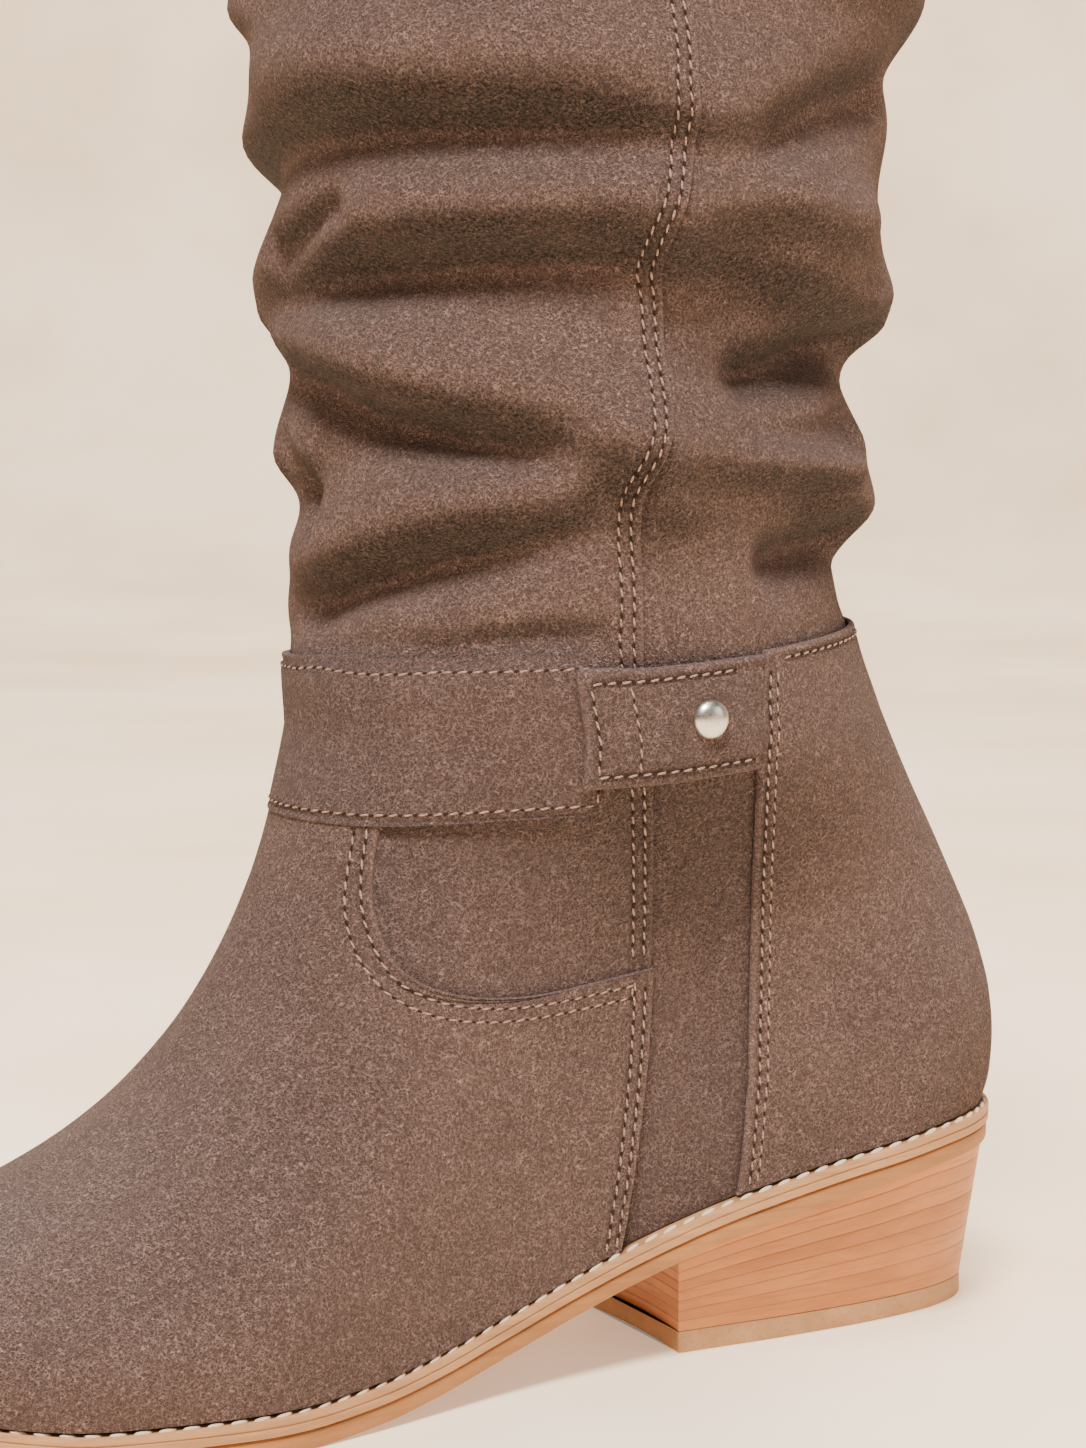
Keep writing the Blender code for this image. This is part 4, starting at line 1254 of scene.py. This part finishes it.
def make_welt(material):
    """The midsole, whose edge is the welt: a ledge for the stitches and a fine groove."""
    t = MIDSOLE_THICKNESS
    profile = (
        (5.0 * MM, -t), (0.35 * MM, -t), (0.12 * MM, -t + 0.12 * MM), (0.05 * MM, -t + 0.4 * MM),
        (0.05 * MM, -0.55 * t), (0.30 * MM, -0.50 * t), (0.32 * MM, -0.46 * t), (0.05 * MM, -0.41 * t),
        (0.0, -0.6 * MM), (0.12 * MM, -0.25 * MM), (0.45 * MM, -0.05 * MM), (0.95 * MM, -0.12 * MM),
        (1.45 * MM, -0.12 * MM), (2.1 * MM, -0.02 * MM), (6.0 * MM, -0.02 * MM), (12.0 * MM, -0.02 * MM),
    )
    return keep(ringed("welt_edge", sole_rings(profile), [material]), ("midsole",))


def make_outsole(material):
    """The leather outsole, its edge a little behind the welt's."""
    top = -MIDSOLE_THICKNESS - GAP
    low = top - OUTSOLE_THICKNESS
    profile = (
        (12.0 * MM, low), (4.0 * MM, low), (1.0 * MM, low), (0.62 * MM, low + 0.15 * MM),
        (0.50 * MM, low + 0.5 * MM), (0.45 * MM, top - 0.8 * MM), (0.55 * MM, top - 0.3 * MM),
        (0.9 * MM, top), (6.0 * MM, top),
    )
    return keep(ringed("outsole_plate", sole_rings(profile), [material]), ("outsole",))


def heel_loop(level, inset=0.0):
    """The heel's outline between its tread (level 0) and its seat (level 1)."""
    side = 1.0 - (1.0 - np.linspace(0.0, 1.0, 60)) ** 1.7
    back_front = -HEEL_LENGTH * 0.48 - HEEL_LEAN * level
    back_end = blend(HEEL_LENGTH * 0.52, SOLE_BACK - WELT_REACH / 2, level)
    half = curve(HEEL, 1, side) * HEEL_WIDTH / 2 + curve(HEEL, 2, side) * HEEL_SPREAD * level
    x = blend(back_front, back_end, side)
    outer = np.stack((x, -half), -1)
    inner = np.stack((x, half), -1)[::-1]
    across = np.linspace(1.0, -1.0, 25)[1:-1]
    hollow = HEEL_HOLLOW * (1.0 - across ** 2)
    breast = np.stack((back_front + hollow, half[0] * across), -1)
    loop = np.concatenate((breast[len(breast) // 2:], outer, inner, breast[:len(breast) // 2]))
    middle = np.array([(back_front + back_end) / 2, 0.0])
    away = loop - middle
    return loop - away / np.linalg.norm(away, axis=1, keepdims=True) * np.reshape(inset, (-1, 1))


def make_stack(material):
    """The stacked heel, its layers level at the tread and fanning to the seat."""
    under = MIDSOLE_THICKNESS + OUTSOLE_THICKNESS + 2 * GAP
    base = LIFT_THICKNESS + 0.0001
    steps = np.array([0.0, 0.05, 0.12, 0.5, 0.88, 0.95])
    levels = np.concatenate([steps + layer for layer in range(HEEL_LAYERS)] + [[HEEL_LAYERS]])
    rings, layers, joints = [], [], []
    for value in levels:
        level = value / HEEL_LAYERS
        near = abs(value - round(value))
        joint = math.exp(-((near / 0.05) ** 2)) if 0 < round(value) < HEEL_LAYERS else 0.0
        loop = heel_loop(level, 0.00010 * joint)
        top = welt_height(loop[:, 0]) - under
        rings.append(np.column_stack((loop, blend(base, top, level))))
        layers.append(np.full(len(loop), min(math.floor(value + 1e-6), HEEL_LAYERS - 1) + 0.5))
        joints.append(np.full(len(loop), joint))
    marks = {"layer": layers, "joint": joints}
    return keep(ringed("heel_layers", rings, [material], marks), ("heel_stack",))


def make_lift(material):
    """The top lift on the floor, its lower edge eased."""
    rings = []
    for inset, z in ((0.5, 0.0), (0.12, 0.12), (0.0, 0.45), (0.0, 4.1), (0.10, 4.38), (0.35, 4.5)):
        loop = heel_loop(0.0, inset * MM)
        rings.append(np.column_stack((loop, np.full(len(loop), z * MM))))
    return keep(ringed("lift_plate", rings, [material]), ("top_lift",))


def make_insole(material):
    """The sock inside the boot, with a soft edge."""
    count = 90
    share = (1.0 - np.cos(math.pi * np.arange(count + 1) / count)) / 2
    turn = np.arccos(1.0 - 2.0 * share) / (2 * math.pi)
    turns = np.concatenate((0.5 - turn, (0.5 - turn[-2:0:-1]) * -1.0)) % 1.0
    edge = skin_point(turns, 0.02) - level_normal(turns, 0.0 * turns) * (WALL + GAP * 5)
    rings = []
    middle = np.column_stack((edge[:, 0], middle_line(along_at(edge[:, 0]))))
    for inset, level in ((1.0, 0.0), (0.0, 0.0), (0.0, 2.2), (0.25, 2.7), (0.9, 3.0), (6.0, 3.0)):
        away = edge[:, :2] - middle
        size = np.maximum(np.linalg.norm(away, axis=1, keepdims=True), 1e-6)
        loop = edge[:, :2] - away / size * np.minimum(inset * MM, size * 0.8)
        rings.append(np.column_stack((loop, welt_height(loop[:, 0]) + GAP + level * MM)))
    return keep(ringed("sock", rings, [material]), ("insole",))


def stitch_tree():
    """Places one thread stitch on every point, along its row and out of the skin."""
    tree = bpy.data.node_groups.new("stitch rows", "GeometryNodeTree")
    for label, kind in (
        ("Geometry", "NodeSocketGeometry"), ("Length", "NodeSocketFloat"), ("Width", "NodeSocketFloat"),
        ("Height", "NodeSocketFloat"), ("Thread", "NodeSocketMaterial"),
    ):
        tree.interface.new_socket(label, in_out="INPUT", socket_type=kind)
    tree.interface.new_socket("Geometry", in_out="OUTPUT", socket_type="NodeSocketGeometry")
    given = tree.nodes.new("NodeGroupInput").outputs
    size = add_node(tree, "ShaderNodeCombineXYZ", {0: given["Length"], 1: given["Width"], 2: given["Height"]})
    bead = add_node(tree, "GeometryNodeMeshUVSphere", {"Segments": 8, "Rings": 6, "Radius": 0.5})
    shaped = add_node(tree, "GeometryNodeTransform", {"Geometry": bead.outputs[0], "Scale": size.outputs[0]})
    along = add_node(tree, "GeometryNodeInputNamedAttribute", {"Name": "along"}, data_type="FLOAT_VECTOR")
    out = add_node(tree, "GeometryNodeInputNamedAttribute", {"Name": "out"}, data_type="FLOAT_VECTOR")
    turned = add_node(
        tree, "FunctionNodeAxesToRotation",
        {"Primary Axis": out.outputs[0], "Secondary Axis": along.outputs[0]},
        primary_axis="Z", secondary_axis="X",
    )
    vary = add_node(tree, "FunctionNodeRandomValue", data_type="FLOAT")
    vary.inputs[2].default_value = 0.90
    vary.inputs[3].default_value = 1.08
    vary.inputs["Seed"].default_value = 7
    spots = add_node(tree, "GeometryNodeMeshToPoints", {"Mesh": given["Geometry"]})
    placed = add_node(
        tree, "GeometryNodeInstanceOnPoints",
        {
            "Points": spots.outputs[0], "Instance": shaped.outputs[0],
            "Rotation": turned.outputs[0], "Scale": vary.outputs[1],
        },
    )
    real = add_node(tree, "GeometryNodeRealizeInstances", {"Geometry": placed.outputs[0]})
    smooth = add_node(tree, "GeometryNodeSetShadeSmooth", {"Geometry": real.outputs[0]})
    plain = {"Geometry": smooth.outputs[0], "Material": given["Thread"]}
    dyed = add_node(tree, "GeometryNodeSetMaterial", plain)
    tree.links.new(dyed.outputs[0], tree.nodes.new("NodeGroupOutput").inputs[0])
    return tree


def sampled(points, normals, pitch, offset=0.0):
    """Places, directions and normals spaced evenly along a line of points."""
    length = np.concatenate(([0.0], np.cumsum(np.linalg.norm(np.diff(points, axis=0), axis=1))))
    at = np.arange(pitch * (0.5 + offset), length[-1] - pitch * 0.3, pitch)
    place = np.stack([np.interp(at, length, points[:, k]) for k in range(3)], -1)
    ahead = np.stack([np.interp(at + pitch * 0.25, length, points[:, k]) for k in range(3)], -1)
    behind = np.stack([np.interp(at - pitch * 0.25, length, points[:, k]) for k in range(3)], -1)
    out = unit(np.stack([np.interp(at, length, normals[:, k]) for k in range(3)], -1))
    return place, unit(ahead - behind), out


def skin_row(turn, rise, depth):
    """A row's points and normals at a depth over the skin."""
    turn, rise = np.asarray(turn, float), np.asarray(rise, float)
    return over_skin(turn, rise, depth), skin_normal(turn, rise)


def sew(name, rows, tree, size, material, pitch, offset=0.0, sink=0.0):
    """All the stitches of some rows, as one piece."""
    parts = [sampled(points - normals * sink, normals, pitch, offset) for points, normals in rows]
    place, along, out = (np.concatenate([part[k] for part in parts]) for k in range(3))
    along = unit(along + np.cross(out, along) * STITCH_SLANT)
    mesh = bpy.data.meshes.new(name)
    mesh.from_pydata(place.tolist(), [], [])
    for label, values in (("along", along), ("out", out)):
        data = mesh.attributes.new(label, "FLOAT_VECTOR", "POINT").data
        data.foreach_set("vector", np.ascontiguousarray(values, np.float32).reshape(-1))
    obj = bpy.data.objects.new(name, mesh)
    bpy.context.scene.collection.objects.link(obj)
    modifier = obj.modifiers.new("stitches", "NODES")
    modifier.node_group = tree
    sockets = {item.name: item.identifier for item in tree.interface.items_tree if item.in_out == "INPUT"}
    for label, value in zip(("Length", "Width", "Height", "Thread"), (*size, material)):
        modifier[sockets[label]] = value
    bpy.context.view_layer.update()
    graph = bpy.context.evaluated_depsgraph_get()
    made = bpy.data.meshes.new_from_object(obj.evaluated_get(graph))
    obj.modifiers.remove(modifier)
    obj.data = made
    made.name = name
    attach(obj, "root")
    return obj


def thread_rows():
    """Every row of the upper's fine stitching."""
    rows = []
    vamp_top = VAMP_DEPTH + OVERLAY
    corner = float(0.6165 * rise_at(0.2, strap_height(0.2, 0.0)))
    for side in (1.0, -1.0):
        for distance in SEAM_ROWS:
            for low, high, depth in (
                (0.012, corner - 0.01, vamp_top),
                (corner + 0.03, 0.995, PANEL_STEP),
                (1.005, 1.99, PANEL_STEP),
            ):
                rise = np.linspace(low, high, 400)
                turn = seam_turn(rise)
                turn = turn - distance / metric(turn, rise)[0]
                rows.append(skin_row(side * turn, rise, depth))
        for distance in EDGE_ROWS:
            turn, rise = vamp_rows(1.0)
            turn, rise = beside(turn, rise, distance)
            inside = turn < seam_turn(rise) - SEAM_ROWS[1] / metric(turn, rise)[0] + 0.001
            rows.append(skin_row(side * turn[inside], rise[inside], vamp_top))
        for distance in COUNTER_ROWS:
            share = np.linspace(0.01, 0.985, 300)
            turn = curve(COUNTER, 1, share)
            rise = blend(0.004, 1.0, share) * counter_top(turn)
            turn = turn + distance / metric(turn, rise)[0]
            rows.append(skin_row(side * turn, rise, COVER_DEPTH + OVERLAY))
    turn = np.linspace(COUNTER[-1][1] + 0.012, 1.0 - COUNTER[-1][1] - 0.012, 400)
    rows.append(skin_row(turn, counter_top(turn) - COUNTER_ROWS[0] / SHAFT_HEIGHT, COVER_DEPTH + OVERLAY))
    rows += strap_rows() + tab_rows()
    turn = np.linspace(0.0, 1.0, 600)
    for drop in (0.0035, 0.0075):
        lift = np.where(np.abs(turn - 0.5) > 0.264, PANEL_STEP, 0.0)
        rows.append(skin_row(turn, np.full(turn.shape, 2.0 - drop / SHAFT_HEIGHT), lift))
    return rows


def strap_rows():
    """Round the strap's end and along both its edges."""
    inset = STRAP_ROW / STRAP_WIDTH
    turn = np.linspace(STRAP_END - STRAP_ROW / ANKLE_ROUND, -0.285, 400)
    rows = []
    for share in (inset, 1.0 - inset):
        rise = rise_at(turn, strap_height(turn, share))
        rows.append(skin_row(turn, rise, STRAP_DEPTH + STRAP_THICKNESS))
    share = np.linspace(inset, 1.0 - inset, 60)
    turn = np.full(share.shape, STRAP_END - STRAP_ROW / ANKLE_ROUND)
    rise = rise_at(turn, strap_height(turn, share))
    rows.append(skin_row(turn, rise, STRAP_DEPTH + STRAP_THICKNESS))
    return rows


def tab_rows():
    """Round the tab's three free edges and down its middle over the seam."""
    inset = TAB_ROW / TAB_WIDTH
    rows = []
    for across in (inset, 1.0 - inset):
        share = np.linspace(0.06, 0.97, 120)
        turn = blend(TAB_END, TAB_BACK, share)
        rise = rise_at(turn, tab_height(share, across))
        rows.append(skin_row(turn, rise, tab_depth(turn) + TAB_THICKNESS))
    for at in (TAB_END + TAB_ROW / ANKLE_ROUND, 0.2180):
        across = np.linspace(inset, 1.0 - inset, 60)
        turn = np.full(across.shape, at)
        rise = rise_at(turn, tab_height((at - TAB_END) / (TAB_BACK - TAB_END), across))
        rows.append(skin_row(turn, rise, tab_depth(turn) + TAB_THICKNESS))
    return rows


def welt_row():
    """The welt's thick stitches, on its ledge all the way round."""
    loop = sole_loop(1.2 * MM, 400)
    loop = np.concatenate((loop, loop[:1]))
    points = np.column_stack((loop, welt_height(loop[:, 0]) - 0.00005))
    slope = np.gradient(points[:, 2]) / np.maximum(np.abs(np.gradient(points[:, 0])), 1e-6)
    normals = np.zeros(points.shape)
    normals[:, 2] = 1.0
    normals[:, 0] = -np.clip(slope, -0.5, 0.5) * np.sign(np.gradient(points[:, 0]))
    outward = loop - sole_loop_centre(loop)
    normals[:, :2] += outward / np.linalg.norm(outward, axis=1, keepdims=True) * 0.55
    return points, unit(normals)


def sole_loop_centre(loop):
    return np.column_stack((np.clip(loop[:, 0], -0.18, 0.02), middle_line(along_at(loop[:, 0]))))


def make_floor():
    """A pale floor that runs up into a plain wall behind the boot."""
    material, tree, shader = start_material("pale stone")
    place = object_place(tree)
    cloud = noise(tree, place, 3.2, 5.0, 0.6)["Fac"]
    veins = noise(tree, moved(tree, place, scale=(4.0, 18.0, 4.0)), 1.0, 6.0, 0.65)["Fac"]
    colour = mixed(tree, ranged(tree, cloud, 0.3, 0.7), (0.84, 0.63, 0.42, 1.0), (1.0, 0.83, 0.62, 1.0))
    colour = mixed(tree, ranged(tree, veins, 0.45, 0.8, 0.0, 0.35), colour, (0.85, 0.65, 0.45, 1.0))
    tree.links.new(colour, shader.inputs["Base Color"])
    tree.links.new(colour, shader.inputs["Emission Color"])
    shader.inputs["Emission Strength"].default_value = 0.52
    tree.links.new(ranged(tree, veins, 0.3, 0.7, 0.55, 0.75), shader.inputs["Roughness"])
    bumped(tree, shader, veins, 0.10, 0.001)
    reach, bend = 1.7, 0.6
    line = [(-3.2, 0.0), (reach, 0.0)]
    for step in range(1, 13):
        angle = math.pi / 2 * step / 12
        line.append((reach + bend * math.sin(angle), bend * (1.0 - math.cos(angle))))
    line.append((reach + bend, 3.5))
    points, faces = [], []
    for y, z in line:
        points += [(-4.0, y, z), (4.0, y, z)]
    for k in range(len(line) - 1):
        faces.append((2 * k, 2 * k + 1, 2 * k + 3, 2 * k + 2))
    mesh = bpy.data.meshes.new("floor")
    mesh.from_pydata(points, [], faces)
    mesh.update()
    mesh.materials.append(material)
    mesh.polygons.foreach_set("use_smooth", np.full(len(faces), True))
    obj = bpy.data.objects.new("floor", mesh)
    obj.rotation_euler[2] = math.radians(-27.0)
    bpy.context.scene.collection.objects.link(obj)


def add_light(name, place, target, size, power, colour):
    data = bpy.data.lights.new(name, "AREA")
    data.shape = "DISK"
    data.size = size
    data.energy = power
    data.color = colour
    obj = bpy.data.objects.new(name, data)
    obj.location = place
    obj.rotation_mode = "QUATERNION"
    obj.rotation_quaternion = (Vector(place) - Vector(target)).to_track_quat("Z", "Y")
    bpy.context.scene.collection.objects.link(obj)


def make_light():
    """Soft daylight from above and a little to the left, with pale fill all round."""
    middle = (-0.04, 0.0, 0.16)
    add_light("window", (-0.75, -1.0, 2.3), middle, 0.7, 128.0, (1.0, 0.965, 0.92))
    add_light("fill", (1.4, -1.3, 0.9), middle, 1.2, 7.0, (1.0, 0.95, 0.90))
    add_light("top", (0.2, 0.2, 2.4), middle, 1.0, 55.0, (1.0, 0.97, 0.94))
    world = bpy.data.worlds.new("room")
    world.use_nodes = True
    sky = world.node_tree.nodes["Background"]
    sky.inputs["Color"].default_value = (1.0, 0.94, 0.87, 1.0)
    sky.inputs["Strength"].default_value = 0.21
    bpy.context.scene.world = world


def make_camera():
    """The photograph's own angle: from the front of the outer side, a little above."""
    data = bpy.data.cameras.new("camera")
    data.sensor_fit = "AUTO"
    data.sensor_width = 36.0
    data.lens = FOCAL_LENGTH * data.sensor_width / PICTURE_HEIGHT
    data.clip_start = 0.01
    data.clip_end = 50.0
    obj = bpy.data.objects.new("camera", data)
    level = math.cos(CAMERA_TILT)
    back = Vector((math.sin(CAMERA_TURN) * level, -math.cos(CAMERA_TURN) * level, math.sin(CAMERA_TILT)))
    obj.location = CAMERA_PLACE
    obj.rotation_mode = "QUATERNION"
    obj.rotation_quaternion = back.to_track_quat("Z", "Y")
    bpy.context.scene.collection.objects.link(obj)
    bpy.context.scene.camera = obj


def main():
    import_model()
    make_camera()
    make_light()
    make_floor()
    nap = nap_group()
    ground, fibre = (0.104, 0.060, 0.050), (0.420, 0.270, 0.232)
    # A darker copy of the same suede for the quarters, the strap and the tab: painted shade.
    shaded_ground, shaded_fibre = (0.090, 0.053, 0.046), (0.355, 0.232, 0.208)
    lining = lining_leather()
    foot = suede("quarter suede", nap, shaded_ground, shaded_fibre)
    leg = suede("shaft suede", nap, ground, fibre, 0.31)
    rises_foot = np.concatenate((np.linspace(0.0, 0.3, 36), np.linspace(0.31, 1.0, 66)))
    near_collar = 2.0 - np.array(NEAR_COLLAR) * MM / SHAFT_HEIGHT
    rises_shaft = np.concatenate((np.linspace(1.0, 1.10, 12), np.linspace(1.108, 1.985, 118), near_collar))
    keep(wall("quarters", rises_foot, [foot, lining]), ("upper",))
    keep(wall("shaft_panels", rises_shaft, [leg, lining], rim=True), ("shaft",))
    make_vamp(suede("vamp suede", nap, ground, fibre, 0.63))
    make_counter(suede("counter suede", nap, ground, fibre, 0.87))
    make_strap(suede("strap suede", nap, shaded_ground, shaded_fibre, 1.21))
    make_tab(suede("tab suede", nap, shaded_ground, shaded_fibre, 1.57))
    make_rivet(satin_nickel())
    make_welt(edge_leather("welt leather", (0.55, 0.285, 0.13), (0.38, 0.18, 0.07), 700.0, 0.45))
    make_outsole(edge_leather("sole leather", (0.46, 0.205, 0.066), (0.31, 0.125, 0.034), 500.0, 0.50))
    make_stack(stack_leather())
    make_lift(tread_rubber())
    make_insole(lining_leather())
    tree = stitch_tree()
    rows = thread_rows()
    fine = (STITCH_LENGTH, STITCH_WIDTH, STITCH_WIDTH)
    pink = thread("upper thread", (0.42, 0.275, 0.21), (0.22, 0.13, 0.095))
    sew("upper_stitches", rows, tree, fine, pink, STITCH_PITCH, 0.0, STITCH_INSET)
    # Dark marks between the stitches, where the holes hold shade: painted shade.
    hole = (HOLE_LENGTH, HOLE_WIDTH, HOLE_HEIGHT)
    sew("needle_hole_shade", rows, tree, hole, painted_hole_shade(), STITCH_PITCH, 0.5, HOLE_INSET)
    cream = thread("welt thread", (0.86, 0.68, 0.50), (0.66, 0.47, 0.31))
    thick = (WELT_LENGTH, WELT_WIDTH, WELT_WIDTH * 0.8)
    sew("welt_stitches", [welt_row()], tree, thick, cream, WELT_PITCH)


main()
